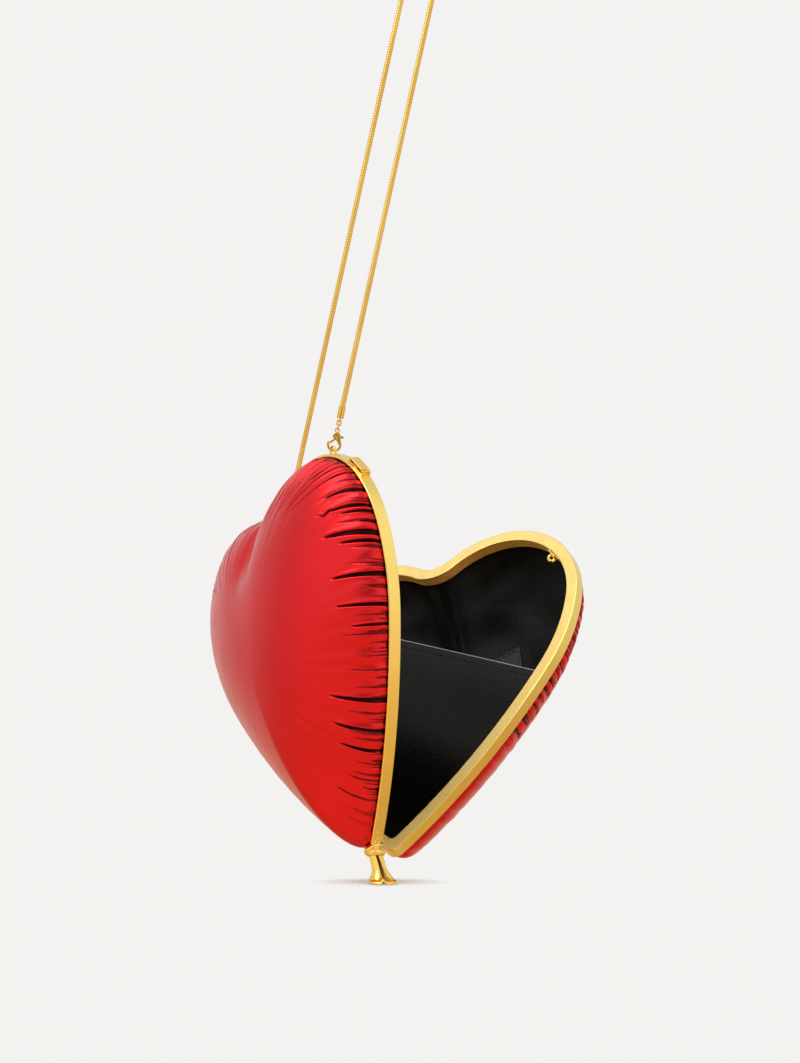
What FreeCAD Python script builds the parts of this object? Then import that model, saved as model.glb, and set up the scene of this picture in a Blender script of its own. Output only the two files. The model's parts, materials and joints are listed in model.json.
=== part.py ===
import FreeCAD, Part
import math
import os

import Sketcher
from FreeCAD import Placement, Rotation, Vector

# A hard heart purse, open and hanging by its chain. Each half is modelled in the heart's own frame: X to
# the right, Y to the back, Z from the tip up the middle of the heart, with the mating plane at Y = 0. The
# front half lies at negative Y. The halves are then turned and hung so that the middle of the chain's top
# bend is the origin.

SIZES = {
    # outline of both frames, tip at zero height
    "half_width": 88.0,
    "lobe_radius": 51.0,
    "lobe_height": 131.6,
    "shoulder_radius": 87.0,
    "side_radius": 317.0,
    "tip_radius": 6.0,
    "cleft_radius": 15.0,
    "least_corner": 1.2,
    # channel frames
    "frame_face": 6.2,
    "frame_depth": 6.0,
    "frame_wall": 1.5,
    "frame_lip": 1.2,
    "frame_flange": 2.0,
    "frame_gap": 0.2,
    # domed shells and linings
    "shell_wall": 1.2,
    "dome_depth": 38.0,
    "dome_fullness": 2.2,
    "dome_edge": 1.6,
    "dome_centre": 97.0,
    "channel_gap": 0.15,
    "lining_thickness": 1.0,
    "lining_gap": 0.3,
    # hinge on the lower left side
    "hinge_from_tip": 46.3,
    "hinge_offset": 2.85,
    "hinge_length": 36.0,
    "open_angle": 44.5,
    "knuckle_radius": 2.0,
    "knuckle_gap": 0.2,
    "lug_height": 4.1,
    "lug_gap": 0.4,
    "pin_radius": 1.0,
    "pin_clearance": 0.05,
    "pin_head_radius": 1.7,
    "pin_head_thickness": 0.7,
    "heel_reach": 4.6,
    "heel_thickness": 1.4,
    "stop_gap": 0.06,
    # press clasp on the right lobe
    "clasp_bearing": 35.0,
    "clasp_length": 13.8,
    "clasp_width": 4.6,
    "clasp_plate": 0.45,
    "clasp_block": 1.4,
    "clasp_block_height": 1.8,
    "bar_thickness": 0.8,
    "bar_gap": 0.2,
    "clasp_travel": 1.0,
    "stem_width": 3.4,
    "stem_thickness": 1.4,
    "stem_depth": 3.5,
    "slot_gap": 0.25,
    "hook_foot": 0.8,
    "nose_length": 1.6,
    "nose_width": 1.1,
    "nose_lap": 0.63,
    "spring_strip": 0.2,
    "spring_width": 1.6,
    "spring_length": 8.4,
    # catch inside the back frame
    "catch_plate": 0.9,
    "catch_width": 6.4,
    "catch_reach": 3.1,
    "catch_bar": 0.8,
    "catch_window": 4.2,
    "catch_foot": 3.6,
    "catch_clear": 0.55,
    # strap loops
    "loop_bearing": 64.0,
    "loop_radius": 2.4,
    "loop_wire": 0.65,
    "loop_leg": 1.0,
    # lobster claws
    "bow_radius": 3.5,
    "bow_hole": 2.3,
    "claw_thickness": 1.6,
    "claw_seat": 0.62,
    "bow_start": 158.0,
    "bow_sweep": 242.0,
    "head_radius": 1.9,
    "head_height": 6.4,
    "head_shift": 0.35,
    "eye_height": 9.2,
    "eye_radius": 1.3,
    "eye_hole": 0.75,
    "eye_thickness": 1.0,
    "trigger_thickness": 0.7,
    "trigger_gap": 0.1,
    "trigger_reach": 4.4,
    "trigger_width": 1.0,
    "trigger_bearing": 226.4,
    "trigger_swing": 25.0,
    "trigger_tab": 3.3,
    "trigger_pin": 0.4,
    "gate_margin": 17.0,
    "slot_drop": 2.9,
    "slot_rise": 1.45,
    # rings, links and end caps
    "ring_radius": 1.5,
    "ring_wire": 0.32,
    "ring_play": 0.2,
    "link_width": 0.95,
    "link_length": 2.6,
    "cap_eye": 0.95,
    "cap_eye_wire": 0.3,
    "cap_radius": 1.65,
    "cap_length": 6.0,
    # snake chain
    "chain_radius": 1.3,
    "strand_run": 222.0,
    "strap_lean": 12.4,
    "strap_bearing": 60.3,
    # balloon knot under the tip
    "knot_wrap": 3.3,
    "knot_wire": 1.6,
    "knot_drop": 3.3,
    "knot_tilt": 17.0,
    "knot_stem": 2.2,
    "tail_length": 20.0,
    "tail_radius": 6.6,
    "tail_split": 2.2,
    "split_rise": 5.0,
    "split_turn": 60.0,
    "flute_radius": 1.1,
    "flute_depth": 0.55,
    "tail_lip": 0.8,
    "neck_length": 4.2,
    "flare_drop": 10.9,
    "flare_swell": 0.8,
    "hollow_depth": 6.0,
    "hollow_rise": 3.7,
    "hollow_swell": 0.2,
    # slip pocket and patch in the back half
    "pocket_depth": 8.0,
    "pocket_thickness": 1.1,
    "pocket_inset": 5.3,
    "pocket_height": 125.6,
    "pocket_slope": 26.6,
    "patch_width": 34.0,
    "patch_height": 20.0,
    "patch_thickness": 1.0,
    "patch_x": 21.0,
    "patch_z": 122.5,
    "patch_turn": 10.0,
    # how the open purse hangs
    "hang_roll": 24.16,
    "hang_lean": 3.72,
    # small seat between soldered pieces
    "seat": 0.03,
}

FRONT_SLOTS = (0, 2, 4)
BACK_SLOTS = (1, 3)
KNUCKLES = len(FRONT_SLOTS + BACK_SLOTS)
DOME_SECTIONS = 8
DOME_LAST_TURN = 86.0
FRONT = -1
BACK = 1
BLOCK_REACH = 20.0
AXIS_X = Vector(1, 0, 0)
AXIS_Y = Vector(0, 1, 0)
AXIS_Z = Vector(0, 0, 1)

doc = FreeCAD.newDocument("heart_purse")
sheet = doc.addObject("Spreadsheet::Sheet", "sizes")
for row, (alias, value) in enumerate(SIZES.items(), start=1):
    sheet.set(f"A{row}", alias)
    sheet.set(f"B{row}", str(value))
    sheet.setAlias(f"B{row}", alias)
doc.recompute()

nodes = {}


def size(alias):
    return float(sheet.get(alias))


def keep(item, label, place):
    """Name a finished piece and put it in its place on the purse."""
    item.Label = label
    item.Placement = place
    nodes[label] = item
    return item


# Plain solids, sized by the sheet

def box(name, corner, lengths):
    item = doc.addObject("Part::Box", name)
    item.Placement.Base = Vector(*corner)
    for prop, expression in zip(("Length", "Width", "Height"), lengths):
        item.setExpression(prop, expression)
    return item


def cylinder(name, base, direction, radius, height):
    item = doc.addObject("Part::Cylinder", name)
    item.setExpression("Radius", radius)
    item.setExpression("Height", height)
    item.Placement = Placement(Vector(*base), Rotation(AXIS_Z, direction))
    return item


def torus(name, centre, turn, ring, wire):
    item = doc.addObject("Part::Torus", name)
    item.setExpression("Radius1", ring)
    item.setExpression("Radius2", wire)
    item.Placement = Placement(Vector(*centre), turn)
    return item


def fuse(name, items):
    item = doc.addObject("Part::MultiFuse", name)
    item.Shapes = items
    return item


def cut(name, base, tools):
    item = doc.addObject("Part::Cut", name)
    item.Base = base
    item.Tool = tools[0] if len(tools) == 1 else fuse(name + "_tools", tools)
    return item


def shaped(name, shape, place=None):
    item = doc.addObject("Part::Feature", name)
    item.Shape = shape
    if place is not None:
        item.Placement = place
    return item


def plane_of(body, role):
    for feature in body.Origin.OriginFeatures:
        if feature.Role == role:
            return feature
    raise ValueError(role)


def attach(sketch, body, role, rise=0.0):
    sketch.AttachmentSupport = [(plane_of(body, role), "")]
    sketch.MapMode = "FlatFace"
    sketch.AttachmentOffset = Placement(Vector(0, 0, rise), Rotation())


def plate(name, points, thickness, role="XZ_Plane"):
    """A flat piece with straight edges, padded evenly to both sides of a body plane."""
    body = doc.addObject("PartDesign::Body", name + "_body")
    sketch = body.newObject("Sketcher::SketchObject", name + "_outline")
    attach(sketch, body, role)
    corners = [Vector(x, y, 0) for x, y in points]
    for start, end in zip(corners, corners[1:] + corners[:1]):
        sketch.addGeometry(Part.LineSegment(start, end), False)
    count = len(corners)
    for line in range(count):
        sketch.addConstraint(Sketcher.Constraint("Coincident", line, 2, (line + 1) % count, 1))
    pad = body.newObject("PartDesign::Pad", name + "_pad")
    pad.Profile = sketch
    pad.Midplane = True
    pad.setExpression("Length", thickness)
    return body


# The heart outline: eight tangent arcs, the same centres for every inset

def heart_arcs(inset):
    """Centre, radius, start and end angle of each arc, counter-clockwise from the tip."""
    lobe_x = size("half_width") - size("lobe_radius")
    lobe_z = size("lobe_height")
    shoulder_x = size("half_width") - size("shoulder_radius")
    tip = size("tip_radius")
    side = size("side_radius")
    # the side arc touches the tip arc and the shoulder arc from outside
    reach_tip = side - tip
    reach_shoulder = side - size("shoulder_radius")
    apart = Vector(shoulder_x, lobe_z - tip, 0)
    span = apart.Length
    along = (reach_tip ** 2 - reach_shoulder ** 2 + span ** 2) / (2 * span)
    off = math.sqrt(reach_tip ** 2 - along ** 2)
    run = apart / span
    side_x = run.x * along - run.y * off
    side_z = tip + run.y * along + run.x * off
    corner = max(tip - inset, size("least_corner"))
    tip_z = side_z - math.sqrt((side - inset - corner) ** 2 - side_x ** 2)
    cleft_z = lobe_z + math.sqrt((size("lobe_radius") + size("cleft_radius")) ** 2 - lobe_x ** 2)
    at_tip = math.atan2(tip_z - side_z, -side_x)
    at_shoulder = math.atan2(lobe_z - side_z, shoulder_x - side_x)
    at_cleft = math.atan2(cleft_z - lobe_z, -lobe_x)
    half = math.pi
    lobe = size("lobe_radius") - inset
    shoulder = size("shoulder_radius") - inset
    return [
        (0.0, tip_z, corner, -half - at_tip, at_tip),
        (side_x, side_z, side - inset, at_tip, at_shoulder),
        (shoulder_x, lobe_z, shoulder, at_shoulder, 0.0),
        (lobe_x, lobe_z, lobe, 0.0, at_cleft),
        (0.0, cleft_z, size("cleft_radius") + inset, -at_cleft, at_cleft - half),
        (-lobe_x, lobe_z, lobe, half - at_cleft, half),
        (-shoulder_x, lobe_z, shoulder, half, half - at_shoulder),
        (-side_x, side_z, side - inset, half - at_shoulder, half - at_tip),
    ]


ARC_NAMES = ("tip", "right side", "right shoulder", "right lobe",
             "cleft", "left lobe", "left shoulder", "left side")
CLEFT_ARC = ARC_NAMES.index("cleft")


def heart_wire(inset, y, scale=1.0):
    """The outline drawn in by inset, at depth y, and shrunk about the middle of the dome."""
    middle = size("dome_centre")
    edges = []
    for number, (x, z, radius, start, end) in enumerate(heart_arcs(inset)):
        turns = [start, (start + end) / 2, end]
        if number == CLEFT_ARC:
            turns.reverse()
        points = []
        for turn in turns:
            px = x + radius * math.cos(turn)
            pz = z + radius * math.sin(turn)
            points.append(Vector(px * scale, y, middle + (pz - middle) * scale))
        edges.append(Part.Arc(*points).toShape())
    return Part.Wire(edges)


def heart_block(name, inset, place=None):
    """A thick heart, used to trim pieces that are soldered to a frame."""
    face = Part.Face(heart_wire(inset, -BLOCK_REACH))
    return shaped(name, face.extrude(Vector(0, 2 * BLOCK_REACH, 0)), place)


HEART_RADII = [(word, ARC_NAMES.index("right " + word), ARC_NAMES.index("left " + word))
               for word in ("side", "shoulder", "lobe")]


def joined_ends(arc):
    """The two touching ends of an arc and the next one. Only the cleft is drawn against the outline's turn."""
    following = (arc + 1) % len(ARC_NAMES)
    return arc, 1 if arc == CLEFT_ARC else 2, following, 2 if following == CLEFT_ARC else 1


def heart_sketch(body, name, insets, rise, solid_edge):
    """The heart with driven sizes, and further loops drawn in by the given insets."""
    sketch = body.newObject("Sketcher::SketchObject", name)
    attach(sketch, body, "XZ_Plane", rise)

    def arcs_of(inset, construction):
        first = sketch.GeometryCount
        for x, z, radius, start, end in heart_arcs(inset):
            circle = Part.Circle(Vector(x, z, 0), AXIS_Z, radius)
            sketch.addGeometry(Part.ArcOfCircle(circle, start, end), construction)
        for arc in range(len(ARC_NAMES)):
            one, one_end, two, two_end = joined_ends(arc)
            sketch.addConstraint(Sketcher.Constraint("Tangent", first + one, one_end, first + two, two_end))
        return first

    def drive(constraint, label, expression):
        index = sketch.addConstraint(constraint)
        sketch.renameConstraint(index, label)
        sketch.setExpression("Constraints." + label, expression)

    first = arcs_of(0.0, not solid_edge)
    sketch.addConstraint(Sketcher.Constraint("PointOnObject", first, 3, -2))
    sketch.addConstraint(Sketcher.Constraint("Symmetric", first + 3, 3, first + 5, 3, -2))
    sketch.addConstraint(Sketcher.Constraint("Horizontal", first + 3, 3, first + 2, 3))
    sketch.addConstraint(Sketcher.Constraint("Horizontal", first + 5, 3, first + 6, 3))
    lobe_x = size("half_width") - size("lobe_radius")
    drive(Sketcher.Constraint("DistanceY", -1, 1, first, 3, size("tip_radius")), "tip_rise",
          "sizes.tip_radius")
    drive(Sketcher.Constraint("DistanceX", -1, 1, first + 3, 3, lobe_x), "lobe_side",
          "sizes.half_width - sizes.lobe_radius")
    drive(Sketcher.Constraint("DistanceY", -1, 1, first + 3, 3, size("lobe_height")), "lobe_rise",
          "sizes.lobe_height")
    drive(Sketcher.Constraint("Radius", first, size("tip_radius")), "tip", "sizes.tip_radius")
    drive(Sketcher.Constraint("Radius", first + CLEFT_ARC, size("cleft_radius")), "cleft",
          "sizes.cleft_radius")
    for word, right, left in HEART_RADII:
        sketch.addConstraint(Sketcher.Constraint("Equal", first + right, first + left))
        drive(Sketcher.Constraint("Radius", first + right, size(word + "_radius")), word,
              f"sizes.{word}_radius")

    for number, (inset, expression) in enumerate(insets):
        loop = arcs_of(inset, False)
        for _, right, left in (HEART_RADII[0], HEART_RADII[2]):
            sketch.addConstraint(Sketcher.Constraint("Coincident", first + right, 3, loop + right, 3))
            sketch.addConstraint(Sketcher.Constraint("Coincident", first + left, 3, loop + left, 3))
        for word, right, left in HEART_RADII:
            sketch.addConstraint(Sketcher.Constraint("Equal", loop + right, loop + left))
            drive(Sketcher.Constraint("Radius", loop + right, size(word + "_radius") - inset),
                  f"{word}_{number}", f"sizes.{word}_radius - ({expression})")
        corner = max(size("tip_radius") - inset, size("least_corner"))
        drive(Sketcher.Constraint("Radius", loop, corner), f"tip_{number}",
              f"max(sizes.tip_radius - ({expression}); sizes.least_corner)")
        drive(Sketcher.Constraint("Radius", loop + CLEFT_ARC, size("cleft_radius") + inset),
              f"cleft_{number}", f"sizes.cleft_radius + {expression}")
    return sketch


# Where the halves stand

def bearing_vector(degrees):
    turn = math.radians(degrees)
    return Vector(math.cos(turn), 0, math.sin(turn))


half_gap = size("frame_gap") / 2
rim_y = half_gap + size("frame_depth")
rim_middle = half_gap + size("frame_depth") / 2
arcs = dict(zip(ARC_NAMES, heart_arcs(0.0)))
hang_turn = Rotation(AXIS_X, size("hang_lean")).multiply(Rotation(AXIS_Y, -size("hang_roll")))

# The hinge pin is parallel to the left side: X along the pin, Y away from the heart, Z to the front.
# Its middle is measured along the side from where the side runs into the tip
side_x, side_z, side_radius, _, side_end = arcs["left side"]
hinge_bearing = math.degrees(side_end - size("hinge_from_tip") / side_radius)
hinge_out = bearing_vector(hinge_bearing)
hinge_along = bearing_vector(hinge_bearing - 90.0)
hinge_middle = Vector(side_x, 0, side_z) + hinge_out * (side_radius + size("hinge_offset"))
hinge_frame = Placement(hinge_middle, Rotation(hinge_along, hinge_out, hinge_along.cross(hinge_out), "XYZ"))

# The clasp stands on the right lobe: X along the rim, Y outwards, Z to the back
clasp_out = bearing_vector(size("clasp_bearing"))
clasp_along = bearing_vector(size("clasp_bearing") + 90.0)
lobe_x, lobe_z = arcs["right lobe"][:2]
lobe_middle = Vector(lobe_x, 0, lobe_z)
clasp_foot = lobe_middle + clasp_out * size("lobe_radius")
clasp_frame = Placement(clasp_foot, Rotation(clasp_along, clasp_out, clasp_along.cross(clasp_out), "XYZ"))

# One strap loop stands on the right lobe and one in the cleft: X along the rim, Z outwards
lobe_foot = lobe_middle + bearing_vector(size("loop_bearing")) * size("lobe_radius")
cleft_foot = Vector(0, 0, arcs["cleft"][1] - size("cleft_radius"))
rim_shift = Vector(0, -rim_middle, 0)


def loop_frame(foot, bearing):
    out = bearing_vector(bearing)
    along = bearing_vector(bearing - 90.0)
    return Placement(foot + rim_shift, Rotation(along, AXIS_Y, out, "XYZ"))


loop_frames = {
    "lobe": loop_frame(lobe_foot, size("loop_bearing")),
    "cleft": loop_frame(cleft_foot, 90.0),
}

# Both strands are parallel and lean the same way. The claws, rings, links and caps lie along them
lean = math.radians(size("strap_lean"))
aside = Rotation(AXIS_Z, size("strap_bearing")).multVec(AXIS_X)
strand = AXIS_Z * math.cos(lean) + aside * math.sin(lean)
claw_side = aside * math.cos(lean) - AXIS_Z * math.sin(lean)
strand_turn = Rotation(claw_side, strand.cross(claw_side), strand, "XYZ")
strand_in_heart = hang_turn.inverted().multVec(strand)
pull = Vector(strand_in_heart.x, 0, strand_in_heart.z).normalize()
pull_reach = size("loop_radius") - size("loop_wire") - size("claw_seat")

# Heights along a strand, from the inner edge of the claw's bow
ring_seat = size("eye_height") + size("eye_hole") - size("ring_wire") - size("ring_play")
ring_z = ring_seat + size("ring_radius")
link_foot = ring_z + size("ring_radius") - 2 * size("ring_wire") - size("ring_play")
link_top = link_foot + size("link_length")
cap_eye_z = link_top - size("ring_wire") - size("cap_eye_wire") - size("ring_play") + size("cap_eye")
cap_foot = cap_eye_z + size("cap_eye") - size("cap_eye_wire")
cap_top = cap_foot + size("cap_length")


def claw_point(word):
    """The seat of a claw in its loop, from the tip of the heart, already hung."""
    frame = loop_frames[word]
    crown = frame.multVec(Vector(0, 0, size("loop_leg"))) + pull * pull_reach
    return hang_turn.multVec(crown)


lobe_cap_top = claw_point("lobe") + strand * cap_top
cleft_cap_top = claw_point("cleft") + strand * cap_top
between = lobe_cap_top - cleft_cap_top
across = between - strand * between.dot(strand)
bend_radius = across.Length / 2
lobe_bend = lobe_cap_top + strand * size("strand_run")
cleft_bend = lobe_bend - across
strap_top = (lobe_bend + cleft_bend) / 2 + strand * bend_radius

front_place = Placement(strap_top * -1, hang_turn)
swing = Placement(hinge_middle, Rotation(hinge_along, size("open_angle"))).multiply(
    Placement(hinge_middle * -1, Rotation()))
back_place = front_place.multiply(swing)
place_of = {FRONT: front_place, BACK: back_place}


# Channel frames: a flat mating face, an outer rim and an inner lip that hold the shell and the lining

slot_length = "sizes.stem_width + 2 * sizes.slot_gap"
slot_thick = "sizes.stem_thickness + 2 * sizes.slot_gap"
slot_deep = "sizes.frame_face + 2 * sizes.clasp_block_height"


def clasp_slot(name, place):
    """The opening through which the stem of the clasp bar goes in."""
    half = size("stem_width") / 2 + size("slot_gap")
    far = -(size("stem_depth") + size("stem_thickness") + size("slot_gap"))
    low = -(size("frame_face") + size("clasp_block_height"))
    tool = box(name, (0, 0, 0), (slot_length, slot_deep, slot_thick))
    tool.Placement = place.multiply(Placement(Vector(-half, low, far), Rotation()))
    return tool


def frame_body(name, side):
    body = doc.addObject("PartDesign::Body", name + "_body")
    face = (size("frame_face"), "sizes.frame_face")
    wall = (size("frame_wall"), "sizes.frame_wall")
    lip = (size("frame_face") - size("frame_lip"), "sizes.frame_face - sizes.frame_lip")
    ring = heart_sketch(body, name + "_ring", [face], -side * half_gap, True)
    pad = body.newObject("PartDesign::Pad", name + "_pad")
    pad.Profile = ring
    pad.setExpression("Length", "sizes.frame_depth")
    pad.Reversed = side == BACK
    floor = -side * (half_gap + size("frame_flange"))
    channel = heart_sketch(body, name + "_channel", [wall, lip], floor, False)
    pocket = body.newObject("PartDesign::Pocket", name + "_pocket")
    pocket.Profile = channel
    pocket.setExpression("Length", "sizes.frame_depth - sizes.frame_flange")
    pocket.Reversed = side == FRONT
    return body


frame_slot = clasp_slot("frame_slot", clasp_frame)
front_frame = cut("front_frame_cut", frame_body("front_frame", FRONT), [frame_slot])
keep(front_frame, "front_frame", front_place)
keep(frame_body("back_frame", BACK), "back_frame", back_place)


# Domed shells and linings: a straight lip in the channel, then a dome that swells like a foil balloon

def dome(inset, depth, side):
    """A solid dome over the heart drawn in by inset, rising from the rim to the given depth."""
    wires = []
    for section in range(DOME_SECTIONS + 1):
        turn = math.radians(DOME_LAST_TURN * section / DOME_SECTIONS)
        scale = math.cos(turn) ** (2 / size("dome_fullness"))
        rise = depth * math.sin(turn) ** (2 / size("dome_edge"))
        wires.append(heart_wire(inset, side * (rim_y + rise), scale))
    return Part.makeLoft(wires, True, False)


def domed_layer(inset, thickness, depth, side):
    """One thin wall of a half: its lip reaches down into the channel."""
    floor = half_gap + size("frame_flange") + size("channel_gap")
    edge = Part.Face(heart_wire(inset, side * floor))
    hole = Part.Face(heart_wire(inset + thickness, side * floor))
    lip = edge.cut(hole).extrude(Vector(0, side * (rim_y - floor), 0))
    wall = dome(inset, depth, side).cut(dome(inset + thickness, depth - thickness, side))
    return lip.fuse(wall).removeSplitter()


shell_inset = size("frame_wall") + size("channel_gap")
lining_inset = shell_inset + size("shell_wall") + size("lining_gap")
lining_depth = size("dome_depth") - size("shell_wall") - size("lining_gap")
inside_inset = lining_inset + size("lining_thickness")
inside_depth = lining_depth - size("lining_thickness")
for side, word in ((FRONT, "front"), (BACK, "back")):
    skin_wall = domed_layer(shell_inset, size("shell_wall"), size("dome_depth"), side)
    lining_wall = domed_layer(lining_inset, size("lining_thickness"), lining_depth, side)
    skin = shaped(word + "_shell_wall", skin_wall)
    lining = shaped(word + "_lining_wall", lining_wall)
    if side == FRONT:
        skin = cut("front_shell_cut", skin, [clasp_slot("shell_slot", clasp_frame)])
        lining = cut("front_lining_cut", lining, [clasp_slot("lining_slot", clasp_frame)])
    keep(skin, word + "_shell", place_of[side])
    keep(lining, word + "_lining", place_of[side])


# Hinge: five barrels on one pin, with heels that meet and stop the back half when it is open

pitch = f"sizes.hinge_length / {KNUCKLES} - sizes.knuckle_gap"
bore_radius = "sizes.pin_radius + sizes.pin_clearance"
hinge_half = size("hinge_length") / 2


def hinge_leaf(name, slots, side):
    step = size("hinge_length") / KNUCKLES
    reach = size("hinge_offset") + size("frame_wall")
    low = size("lug_gap") if side == FRONT else -size("lug_gap") - size("lug_height")
    pieces = []
    for slot in slots:
        start = -hinge_half + slot * step + size("knuckle_gap") / 2
        pieces.append(cylinder(f"{name}_barrel_{slot}", (start, 0, 0), AXIS_X, "sizes.knuckle_radius", pitch))
        pieces.append(box(f"{name}_lug_{slot}", (start, -reach, low),
                          (pitch, "sizes.hinge_offset + sizes.frame_wall", "sizes.lug_height")))
        heel = box(f"{name}_heel_{slot}", (start, 0, -size("heel_thickness")),
                   (pitch, "sizes.heel_reach", "sizes.heel_thickness"))
        if side == FRONT:
            heel.Placement = open_turn.multiply(Placement(Vector(start, 0, size("stop_gap")), Rotation()))
        pieces.append(heel)
    first = -hinge_half + size("knuckle_gap") / 2
    inner = size("knuckle_radius") + size("knuckle_gap")
    pieces.append(box(name + "_strap", (first, -reach, low), ("sizes.hinge_length - sizes.knuckle_gap",
                      "sizes.hinge_offset + sizes.frame_wall - sizes.knuckle_radius - sizes.knuckle_gap",
                      "sizes.lug_height")))
    if side == FRONT:
        strip = box(name + "_stop", (0, 0, 0), ("sizes.hinge_length - sizes.knuckle_gap",
                    "sizes.heel_reach - sizes.knuckle_radius - sizes.knuckle_gap", "sizes.heel_thickness"))
        strip.Placement = open_turn.multiply(Placement(Vector(first, inner, size("stop_gap")), Rotation()))
        pieces.append(strip)
    bore = cylinder(name + "_bore", (-size("hinge_length"), 0, 0), AXIS_X, bore_radius,
                    "2 * sizes.hinge_length")
    block = heart_block(name + "_block", -size("seat"), hinge_frame.inverse())
    return cut(name + "_leaf", fuse(name + "_solid", pieces), [bore, block])


open_turn = Placement(Vector(), Rotation(AXIS_X, size("open_angle")))
keep(hinge_leaf("front_hinge", FRONT_SLOTS, FRONT), "front_hinge_knuckles", front_place.multiply(hinge_frame))
keep(hinge_leaf("back_hinge", BACK_SLOTS, BACK), "back_hinge_knuckles", back_place.multiply(hinge_frame))

pin_half = hinge_half + size("knuckle_gap")
hinge_pin = fuse("hinge_pin_solid", [
    cylinder("pin_shank", (-pin_half, 0, 0), AXIS_X, "sizes.pin_radius",
             "sizes.hinge_length + 2 * sizes.knuckle_gap"),
    cylinder("pin_head_low", (-pin_half - size("pin_head_thickness"), 0, 0), AXIS_X, "sizes.pin_head_radius",
             "sizes.pin_head_thickness"),
    cylinder("pin_head_high", (pin_half, 0, 0), AXIS_X, "sizes.pin_head_radius", "sizes.pin_head_thickness"),
])
keep(hinge_pin, "hinge_pin", front_place.multiply(hinge_frame))


# Press clasp: a seat on the rim, a spring-loaded bar whose stem ends in a hook inside the frame

clasp_place = front_place.multiply(clasp_frame)
clasp_half = size("clasp_length") / 2
clasp_near = -(half_gap + size("slot_gap") + size("clasp_width"))
block_y = -size("frame_wall")
block_tall = "sizes.clasp_block_height + sizes.frame_wall"
base_pieces = [box("clasp_plate_solid", (-clasp_half, block_y, clasp_near),
                   ("sizes.clasp_length", "sizes.clasp_plate + sizes.frame_wall", "sizes.clasp_width"))]
for start in (-clasp_half, clasp_half - size("clasp_block")):
    base_pieces.append(box("clasp_block_solid", (start, block_y, clasp_near),
                           ("sizes.clasp_block", block_tall, "sizes.clasp_width")))
clasp_base = cut("clasp_base_cut", fuse("clasp_base_solid", base_pieces), [
    heart_block("clasp_rim", -size("seat"), clasp_frame.inverse()),
    clasp_slot("clasp_base_slot", Placement()),
])
keep(clasp_base, "clasp_base", clasp_place)

hook_plate = size("frame_face") + size("catch_clear") + size("catch_plate")
hook_top = -(hook_plate - size("nose_lap"))
hook_floor = hook_top - size("nose_length")
stem_front = -(size("stem_depth") + size("stem_thickness"))
nose_back = size("catch_bar") + 2 * size("slot_gap") + size("nose_width") - size("stem_depth")
bar_under = size("clasp_plate") + size("spring_strip") + size("clasp_travel") + 2 * size("seat")
hook_outline = [
    (bar_under, stem_front),
    (hook_floor - size("hook_foot"), stem_front),
    (hook_floor - size("hook_foot"), nose_back),
    (hook_floor, nose_back),
    (hook_top, nose_back - size("nose_width") / 2),
    (hook_top, nose_back - size("nose_width")),
    (hook_floor, nose_back - size("nose_width")),
    (hook_floor, -size("stem_depth")),
    (bar_under, -size("stem_depth")),
]
bar_length = "sizes.clasp_length - 2 * sizes.clasp_block - 2 * sizes.bar_gap"
bar_start = -clasp_half + size("clasp_block") + size("bar_gap")
thumb_bar = box("thumb_bar", (bar_start, bar_under, clasp_near),
                (bar_length, "sizes.bar_thickness", "sizes.clasp_width"))
rounded_bar = doc.addObject("Part::Fillet", "thumb_bar_rounded")
rounded_bar.Base = thumb_bar
doc.recompute()
top_edges = []
for number, edge in enumerate(thumb_bar.Shape.Edges, start=1):
    if edge.BoundBox.YMin > bar_under + size("bar_thickness") / 2:
        top_edges.append((number, size("bar_thickness") / 2, size("bar_thickness") / 2))
rounded_bar.Edges = top_edges
clasp_hook = plate("clasp_hook", hook_outline, "sizes.stem_width", "YZ_Plane")
keep(fuse("clasp_bar_solid", [rounded_bar, clasp_hook]), "clasp_bar", clasp_place)

# A bowed strip between the seat and the bar
spring_half = size("spring_length") / 2
spring_top = bar_under - size("seat")
spring_foot = size("clasp_plate") + size("seat")
spring_z = -(half_gap + size("slot_gap") * 2 + size("spring_width"))


def bow_edge(drop):
    ends = spring_foot + size("spring_strip") - drop
    crown = spring_top - drop
    return Part.Arc(Vector(-spring_half, ends, spring_z), Vector(0, crown, spring_z),
                    Vector(spring_half, ends, spring_z)).toShape()


upper_bow = bow_edge(0.0)
lower_bow = bow_edge(size("spring_strip"))
bow_ends = [Part.makeLine(upper_bow.Vertexes[end].Point, lower_bow.Vertexes[end].Point) for end in (0, 1)]
bow_face = Part.Face(Part.Wire(Part.sortEdges([upper_bow, lower_bow] + bow_ends)[0]))
spring_strip = shaped("spring_strip_solid", bow_face.extrude(Vector(0, 0, size("spring_width"))))
keep(spring_strip, "clasp_spring", clasp_place)

# The catch is a windowed tongue soldered inside the back frame
catch_inner = -hook_plate
catch_half = size("catch_width") / 2
tongue = box("catch_tongue", (-catch_half, catch_inner, -size("catch_reach")),
             ("sizes.catch_width", "sizes.catch_plate",
              "sizes.catch_reach + sizes.frame_gap / 2 + sizes.catch_foot"))
foot = box("catch_foot_solid", (-catch_half, catch_inner, half_gap + size("slot_gap")),
           ("sizes.catch_width", "sizes.catch_plate + sizes.catch_clear + sizes.frame_lip",
            "sizes.catch_foot - sizes.slot_gap"))
window_low = size("catch_bar") - size("catch_reach")
window_corner = (-size("catch_window") / 2, catch_inner - size("seat"), window_low)
window = box("catch_window_solid", window_corner,
             ("sizes.catch_window", "sizes.catch_plate + 2 * sizes.seat",
              "sizes.catch_reach - sizes.catch_bar - sizes.frame_gap"))
open_tongue = cut("catch_open", fuse("catch_solid", [tongue, foot]), [window])
catch = doc.addObject("Part::Common", "catch_trimmed")
catch.Base = open_tongue
catch.Tool = heart_block("catch_room", size("frame_face") + size("seat"), clasp_frame.inverse())
keep(catch, "clasp_catch", back_place.multiply(clasp_frame))


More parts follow.
